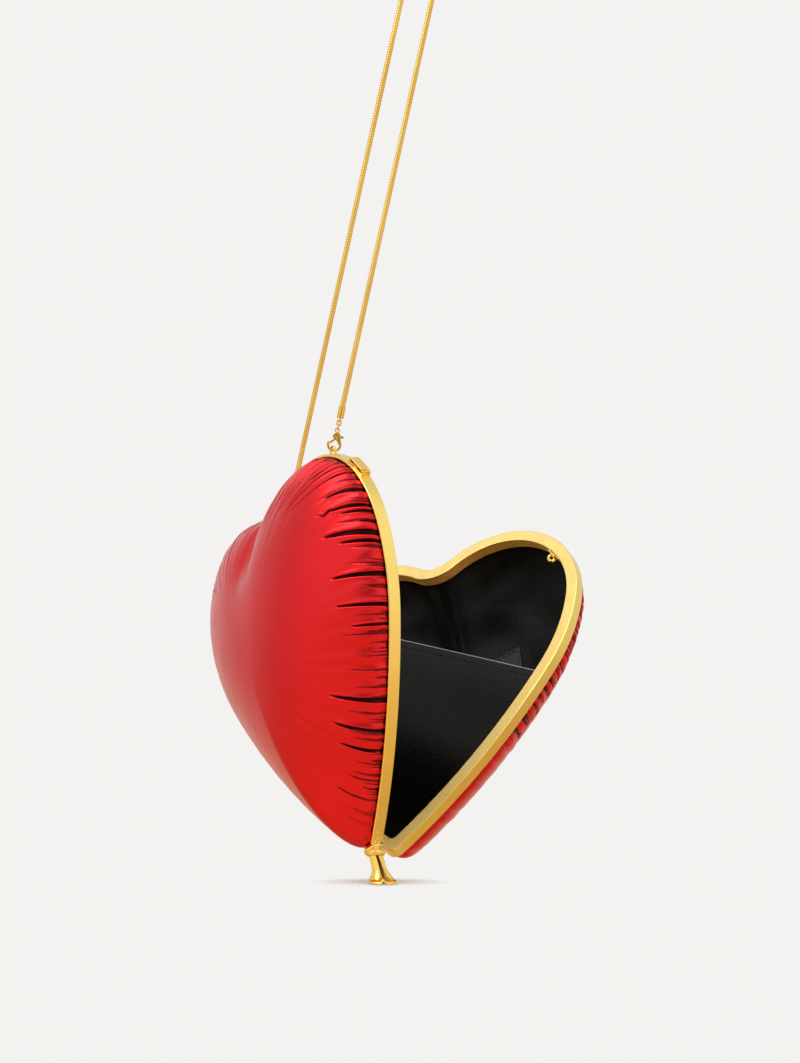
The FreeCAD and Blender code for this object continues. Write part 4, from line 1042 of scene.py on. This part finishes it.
FILED_DEPTH = 0.0006
SPLIT_TURN = math.radians(-30.0)
WRAP_COLUMNS = 140
WRAP_ROWS = 40
WRAP_LINES = 6
LINE_TWIST = 3
LINE_HEIGHT = 0.05
FRONT_SWELL = 0.12
WRAP_TALLNESS = 1.15
# Each wrap: its tilt, its drop below the tip, and the radii of its ring and of its roll
WRAPS = (
    (math.radians(15.0), -0.0003, 0.0036, 0.0015),
    (math.radians(-15.0), 0.0020, 0.0033, 0.0013),
)
# Its dark brown is painted shade, laid into the tail's grooves and the hollow inside its lip
knot_gold = gold("knot_gold", light=(0.97, 0.70, 0.19), deep=(0.92, 0.62, 0.14),
                 smooth=0.14, dull=0.22, mark_height=0.000006, painted_recess_shade=(0.15, 0.06, 0.01))


def knot_wrap(tilt, drop, ring, roll):
    """One wrap of the neck: a roll of foil with fine lines along it, higher on one side than the other."""
    around = np.linspace(0.0, 2 * math.pi, WRAP_COLUMNS, endpoint=False)
    turns = np.linspace(0.0, 2 * math.pi, WRAP_ROWS, endpoint=False)[:, None]
    ahead = np.array([math.cos(SPLIT_TURN), math.sin(SPLIT_TURN), 0.0])
    level = np.array([-math.sin(SPLIT_TURN), math.cos(SPLIT_TURN), 0.0])
    aside = level * math.cos(tilt) + np.array([0.0, 0.0, math.sin(tilt)])
    over = np.cross(ahead, aside)
    lines = 1 + LINE_HEIGHT * np.cos(WRAP_LINES * turns + LINE_TWIST * around)
    swell = roll * lines * (1 + FRONT_SWELL * np.cos(around))
    outward = ahead * np.cos(around)[:, None] + aside * np.sin(around)[:, None]
    points = outward * (ring + swell * np.cos(turns))[..., None]
    points = points + over * (WRAP_TALLNESS * swell * np.sin(turns))[..., None]
    points = points - np.array([0.0, RIM_MIDDLE, drop])
    filed = points[..., 2] > -FILED_DEPTH
    points[..., 1] = np.where(filed, np.minimum(points[..., 1], -HALF_GAP), points[..., 1])
    return grid_mesh("wrap", hung(points, FRONT), round_rows=True)


TWIST_DEPTHS = (0.0047, 0.0013)
TWIST_RADIUS = 0.0005
TWIST_END = 0.02
TWIST_POINTS = 24
TWIST_SIDES = 10
# Each line of the twist: its first and last place round the rim, and how far it bows between them
TWISTS = (
    (0.0115, 0.0080, 0.0),
    (0.0056, 0.0064, 0.0011),
    (0.0056, 0.0064, -0.0011),
    (-0.0115, -0.0080, 0.0),
    (-0.0056, -0.0064, 0.0011),
)


def twist_bead(first, last, bow):
    """One fine line of the twist that runs up over the rim of the frame, a thin bead sunk to half."""
    share = np.linspace(0.0, 1.0, TWIST_POINTS)
    rim = heart_outline(0.0, first + (last - first) * share + bow * np.sin(math.pi * share))
    depth = TWIST_DEPTHS[0] + (TWIST_DEPTHS[1] - TWIST_DEPTHS[0]) * share
    line = np.stack([rim[:, 0], -depth, rim[:, 1]], axis=1)
    swell = TWIST_RADIUS * np.maximum(np.sin(math.pi * share), TWIST_END) ** 0.5
    return tube_mesh("twist", hung(line, FRONT), swell, TWIST_SIDES)


TAIL_COLUMNS = 160
TAIL_ROWS = 70
TAIL_TOP = 0.0012
TAIL_FOOT = -0.0147
NECK_RADIUS = 0.0031
NECK_TAPER = 0.0004
FLARE_RADIUS = 0.0055
FLARE_STARTS = 0.6
FLARE_CURVE = 1.8
LIP_ROLL = 0.0009
LIP_TURN = 1.25 * math.pi
LIP_STARTS = 0.7
HOLLOW_STARTS = 0.88
HOLLOW_CLOSES = 0.98
HOLLOW_RISE = 0.005
HOLLOW_SHADE = 0.8
HOLLOW_SHADE_STARTS = (0.86, 0.95)
TAIL_FLUTES = 6
FLUTE_DEPTH = 0.12
FLUTE_STARTS = (0.02, 0.12)
FLUTE_ENDS = (0.6, 0.72)
GROOVE_DEPTH = 0.55
GROOVE_LEAN = (0.1, 0.5)
GROOVE_WIDTH = (0.13, 0.40)
GROOVE_STEEPNESS = 4
NOTCH_TURN = 0.1
NOTCH_WIDTH = 0.13
NOTCH_RISE = 0.0016
NOTCH_STARTS = (0.5, 0.75)
LEVEL_STARTS = (0.2, 0.66)


def knot_tail():
    """The fluted tail: down the outside, round the rolled lip and up into the hollow, cut off level."""
    around = np.linspace(0.0, 2 * math.pi, TAIL_COLUMNS, endpoint=False)
    run = np.linspace(0.0, 1.0, TAIL_ROWS)
    down = np.clip(run / LIP_STARTS, 0.0, 1.0)
    roll = np.clip((run - LIP_STARTS) / (HOLLOW_STARTS - LIP_STARTS), 0.0, 1.0) * LIP_TURN
    inside = np.clip((run - HOLLOW_STARTS) / (1 - HOLLOW_STARTS), 0.0, 1.0)
    flare = np.clip((down - FLARE_STARTS) / (1 - FLARE_STARTS), 0.0, 1.0) ** FLARE_CURVE
    wall = NECK_RADIUS + NECK_TAPER * down + (FLARE_RADIUS - NECK_RADIUS) * flare
    radius = (wall + LIP_ROLL * np.sin(roll)) * (1 - HOLLOW_CLOSES * inside)
    height = TAIL_TOP + (TAIL_FOOT - TAIL_TOP) * down - LIP_ROLL * (1 - np.cos(roll)) + HOLLOW_RISE * inside
    apart = (around - SPLIT_TURN + math.pi) % (2 * math.pi) - math.pi
    flute = np.clip(np.cos(TAIL_FLUTES * apart), 0.0, 1.0) ** 2
    lean = GROOVE_LEAN[0] + GROOVE_LEAN[1] * down[:, None]
    width = GROOVE_WIDTH[0] + GROOVE_WIDTH[1] * down[:, None] ** 2
    groove = np.exp(-((apart - lean) / width) ** GROOVE_STEEPNESS)
    fluted = (eased_step(run, *FLUTE_STARTS) * (1 - eased_step(run, *FLUTE_ENDS)))[:, None]
    dent = 1 - (FLUTE_DEPTH * flute + GROOVE_DEPTH * groove) * fluted
    notch = np.exp(-((apart - NOTCH_TURN) / NOTCH_WIDTH) ** 2)
    notch = notch + np.exp(-((np.abs(apart) - math.pi) / NOTCH_WIDTH) ** 2)
    x = radius[:, None] * dent * np.cos(around)
    y = radius[:, None] * dent * np.sin(around)
    upright = hang.to_3x3()[2]
    level = -(upright[0] * x + upright[1] * y) / upright[2] * eased_step(run, *LEVEL_STARTS)[:, None]
    z = height[:, None] + level + NOTCH_RISE * notch * eased_step(run, *NOTCH_STARTS)[:, None]
    points = np.stack([x, y - RIM_MIDDLE, z], axis=-1)
    # Painted shade: the grooves of the tail and the hollow inside its lip are darkened in colour
    shade = HOLLOW_SHADE * eased_step(run, *HOLLOW_SHADE_STARTS)[:, None]
    return grid_mesh("tail", hung(points, FRONT), flip=True), np.clip(groove * fluted + shade, 0.0, 1.0)


tail, tail_painted_shade = knot_tail()
knot_parts = [twist_bead(*twist) for twist in TWISTS]
knot_parts += [knot_wrap(*wrap) for wrap in WRAPS]
knot_mesh = joined("balloon_knot_cast", knot_parts + [tail])
plain_points = np.zeros(len(knot_mesh.vertices) - tail_painted_shade.size)
marked(knot_mesh, "painted_recess_shade", np.concatenate([plain_points, tail_painted_shade.ravel()]))
knot = fitted("balloon_knot_cast", knot_mesh, knot_gold, "front_half", "gold_knot", "balloon_knot")


# Strap fittings: two wire loops soldered to the rim, and on each a lobster claw with a sprung trigger,
# a jump ring, an oval link and a crimped end cap, all of plated brass.

strap_gold = gold("strap_gold", light=(0.96, 0.59, 0.12), deep=(0.86, 0.48, 0.08),
                  smooth=0.12, dull=0.2, mark_height=0.000005)
# The cast ones: grain of the casting, passes of tumbling, and plating
STRAP_CASTINGS = (
    ("_loop", 0.00008, 3, fitting_gold),
    ("_claw", 0.0001, 40, strap_gold),
    ("_trigger", 0.00008, 6, strap_gold),
    ("_end_cap", 0.00009, 4, strap_gold),
)
for word in ("lobe", "cleft"):
    for part, cast_grain, passes, plating in STRAP_CASTINGS:
        tumbled(word + part, cast_grain, passes, plating)
    for part in ("_trigger_pin", "_jump_ring", "_link"):
        plated(word + part, strap_gold)


# The strap: one round snake chain of gold-plated brass, drawn tight from cap to cap over whatever holds
# the purse up. Its wavy plates lap over each other and leave a fine chevron all along it.

CHAIN_ROUTE = (
    (-0.002038, -0.050189, -0.242713),
    (0.021581, -0.008779, -0.025893),
    (0.024201, -0.004185, -0.001838),
    (-0.024203, 0.004187, 0.001836),
    (-0.026823, -0.000407, -0.022219),
    (-0.054105, -0.048241, -0.272674),
)
CHAIN_DIAMETER = 0.0026
PLATE_PITCH = 0.0013
PLATE_STEPS = 6
PLATE_SIDES = 18
PLATE_STEP_DEPTH = 0.00016
PLATE_CURVE = 1.5
CHEVRON = 0.3
ROUTE_STEPS = 96
ROUTE_ORDER = 3

route = bpy.data.curves.new("chain_route", "CURVE")
route.dimensions = "3D"
route.resolution_u = ROUTE_STEPS
spline = route.splines.new("NURBS")
spline.points.add(len(CHAIN_ROUTE) - 1)
for point, place in zip(spline.points, CHAIN_ROUTE):
    point.co = (*place, 1.0)
spline.order_u = ROUTE_ORDER
spline.use_endpoint_u = True
route_piece = bpy.data.objects.new("chain_route", route)
route_mesh = bpy.data.meshes.new_from_object(route_piece)
route_line = np.array([vertex.co for vertex in route_mesh.vertices])
bpy.data.objects.remove(route_piece)
route_run = np.concatenate([[0.0], np.cumsum(np.linalg.norm(np.diff(route_line, axis=0), axis=1))])
chain_run = np.arange(0.0, route_run[-1], PLATE_PITCH / PLATE_STEPS)
chain_line = np.stack([np.interp(chain_run, route_run, route_line[:, axis]) for axis in range(3)], axis=1)
chain_along = np.gradient(chain_line, axis=0)
chain_along /= np.linalg.norm(chain_along, axis=1, keepdims=True)
first_strand = np.subtract(CHAIN_ROUTE[1], CHAIN_ROUTE[0])
over_the_top = np.subtract(CHAIN_ROUTE[3], CHAIN_ROUTE[2])
loop_normal = np.cross(first_strand, over_the_top)
loop_normal /= np.linalg.norm(loop_normal)
chain_out = np.cross(chain_along, loop_normal)
chain_out /= np.linalg.norm(chain_out, axis=1, keepdims=True)
chain_across = np.cross(chain_along, chain_out)
plate_turns = np.arange(PLATE_SIDES) * 2 * math.pi / PLATE_SIDES
chevron = CHEVRON * np.cos(2 * plate_turns)
phase = (chain_run[:, None] / PLATE_PITCH + chevron) % 1.0
plate_radius = CHAIN_DIAMETER / 2 - PLATE_STEP_DEPTH * np.abs(2 * phase - 1) ** PLATE_CURVE
ring = chain_out[:, None] * np.cos(plate_turns)[None, :, None]
ring = ring + chain_across[:, None] * np.sin(plate_turns)[None, :, None]
chain_mesh = grid_mesh("snake_chain", chain_line[:, None] + plate_radius[..., None] * ring, flip=True)
chain_gold = gold("chain_gold", light=(0.88, 0.58, 0.15), deep=(0.76, 0.46, 0.10),
                  smooth=0.2, dull=0.3, mark_height=0.00001)
chain = fitted("snake_chain", chain_mesh, chain_gold, "front_half", "gold_chain", "strap_chain")
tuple(CHAIN_ROUTE[0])


# The setting: a pale floor just under the tail that fades out into a pale room, warmer low down and darker
# where the camera stands, with one large soft box high on the left and a level camera on the clasp side.

FLOOR_COLOUR = (0.78, 0.775, 0.765)
FLOOR_DULLNESS = 0.9
FLOOR_REACH = 0.9
FLOOR_DROP = 0.0006
FLOOR_SQUEEZE = (1.0, 2.6, 1.0)
FLOOR_FADES = (0.008, 0.034)
VIEW_TURN = math.radians(61.0)
towards = Vector((math.sin(VIEW_TURN), -math.cos(VIEW_TURN), 0.0))
rightward = Vector((math.cos(VIEW_TURN), math.sin(VIEW_TURN), 0.0))
upward = Vector((0.0, 0.0, 1.0))

tail_low = min((knot.matrix_world @ Vector(corner)).z for corner in knot.bound_box)
floor_mesh = bpy.data.meshes.new("floor")
floor_corners = [(-FLOOR_REACH, -FLOOR_REACH, 0.0), (FLOOR_REACH, -FLOOR_REACH, 0.0),
                 (FLOOR_REACH, FLOOR_REACH, 0.0), (-FLOOR_REACH, FLOOR_REACH, 0.0)]
floor_mesh.from_pydata(floor_corners, [], [(0, 1, 2, 3)])
floor = bpy.data.objects.new("floor", floor_mesh)
floor.location = (tip.x, tip.y, tail_low - FLOOR_DROP)
floor.rotation_euler = (0.0, 0.0, VIEW_TURN)
bpy.context.scene.collection.objects.link(floor)
floor_material, tree, shader = painted("pale_floor")
shader.inputs["Base Color"].default_value = (*FLOOR_COLOUR, 1.0)
shader.inputs["Roughness"].default_value = FLOOR_DULLNESS
shader.inputs["Specular IOR Level"].default_value = 0.0
where = node_of(tree, "TexCoord")
flat = node_of(tree, "VectorMath", operation="MULTIPLY")
flat.inputs[1].default_value = FLOOR_SQUEEZE
tree.links.new(where.outputs["Object"], flat.inputs[0])
length = node_of(tree, "VectorMath", operation="LENGTH")
tree.links.new(flat.outputs["Vector"], length.inputs[0])
fade = ranged(tree, length.outputs["Value"], 0.0, 1.0, *FLOOR_FADES)
clear = node_of(tree, "BsdfTransparent")
blend = node_of(tree, "MixShader")
tree.links.new(fade, blend.inputs["Fac"])
tree.links.new(shader.outputs["BSDF"], blend.inputs[1])
tree.links.new(clear.outputs["BSDF"], blend.inputs[2])
tree.links.new(blend.outputs["Shader"], tree.nodes["Material Output"].inputs["Surface"])
floor_mesh.materials.append(floor_material)

PALE = (0.896, 0.888, 0.871)
ROOM_WHITE = (1.0, 0.99, 0.975)
LOW_ROOM = (0.90, 0.62, 0.32)
LOW_ENDS = (-0.5, 0.0)
FAR_SIDE = 0.76
FAR_SIDE_ENDS = (-0.2, 0.35)
CAMERA_CORNER = 0.4
CORNER_ENDS = (0.91, 0.98)
LOW_RIGHT = 0.74
LOW_RIGHT_ENDS = (0.86, 0.98)
low_right_way = rightward * 0.8 - upward * 0.6
world = bpy.data.worlds.new("pale_room")
bpy.context.scene.world = world
world.use_nodes = True
tree = world.node_tree
room = tree.nodes["Background"]
where = node_of(tree, "TexCoord")


def facing(way):
    """How squarely each direction of the room lies in the given way."""
    product = node_of(tree, "VectorMath", operation="DOT_PRODUCT")
    product.inputs[1].default_value = way
    tree.links.new(where.outputs["Generated"], product.inputs[0])
    return product.outputs["Value"]


def reckoned(operation, one, two):
    """Two values put together, between nought and one."""
    step = node_of(tree, "Math", operation=operation, use_clamp=True)
    tree.links.new(one, step.inputs[0])
    tree.links.new(two, step.inputs[1])
    return step.outputs["Value"]


height = ranged(tree, facing(upward), 0.0, 1.0, *LOW_ENDS)
room_colour = two_tone(tree, height, LOW_ROOM, ROOM_WHITE, 0.0, 1.0)
far_side = ranged(tree, facing(towards), FAR_SIDE, 1.0, *FAR_SIDE_ENDS)
camera_corner = ranged(tree, facing(towards), 1.0, CAMERA_CORNER, *CORNER_ENDS)
low_right = ranged(tree, facing(low_right_way), 1.0, LOW_RIGHT, *LOW_RIGHT_ENDS)
strength = reckoned("MULTIPLY", reckoned("MULTIPLY", far_side, camera_corner), low_right)
tree.links.new(room_colour, room.inputs["Color"])
tree.links.new(strength, room.inputs["Strength"])
# The camera sees one flat pale tone, while metal and gloss mirror the pale room with its light and shade
path = node_of(tree, "LightPath")
by_camera = path.outputs["Is Camera Ray"]
seen = node_of(tree, "Background")
tree.links.new(mixed(tree, by_camera, room_colour, PALE), seen.inputs["Color"])
tree.links.new(reckoned("MAXIMUM", strength, by_camera), seen.inputs["Strength"])
in_metal = reckoned("ADD", by_camera, path.outputs["Is Glossy Ray"])
in_glass = reckoned("ADD", in_metal, path.outputs["Is Transmission Ray"])
choose = node_of(tree, "MixShader")
tree.links.new(in_glass, choose.inputs["Fac"])
tree.links.new(room.outputs["Background"], choose.inputs[1])
tree.links.new(seen.outputs["Background"], choose.inputs[2])
tree.links.new(choose.outputs["Shader"], tree.nodes["World Output"].inputs["Surface"])

BOX_WIDTH = 0.85
BOX_POWER = 5.5
BOX_AHEAD = 0.32
BOX_LEFT = 0.58
BOX_ABOVE = 1.06
PURSE_MIDDLE = Vector((-0.02, -0.02, -0.36))
box_place = towards * BOX_AHEAD - rightward * BOX_LEFT + upward * BOX_ABOVE
soft_box = bpy.data.lights.new("high_box", "AREA")
soft_box.shape = "RECTANGLE"
soft_box.size = BOX_WIDTH
soft_box.size_y = BOX_WIDTH
soft_box.energy = BOX_POWER
holder = bpy.data.objects.new("high_box", soft_box)
holder.location = PURSE_MIDDLE + box_place
holder.rotation_euler = (-box_place).to_track_quat("-Z", "Y").to_euler()
bpy.context.scene.collection.objects.link(holder)

CAMERA_PLACE = Vector((0.9225, -0.5316, -0.3021))
CAMERA_NEAR = 0.05
PHOTO_HEIGHT = 1063
FOCAL_PIXELS = 2200
SENSOR = 36.0
camera = bpy.data.objects.new("camera", bpy.data.cameras.new("camera"))
camera.data.sensor_width = SENSOR
camera.data.lens = SENSOR * FOCAL_PIXELS / PHOTO_HEIGHT
camera.data.clip_start = CAMERA_NEAR
camera.location = CAMERA_PLACE
camera.rotation_euler = (math.pi / 2, 0.0, VIEW_TURN)
bpy.context.scene.collection.objects.link(camera)
bpy.context.scene.camera = camera
bpy.context.scene.view_settings.view_transform = "Standard"
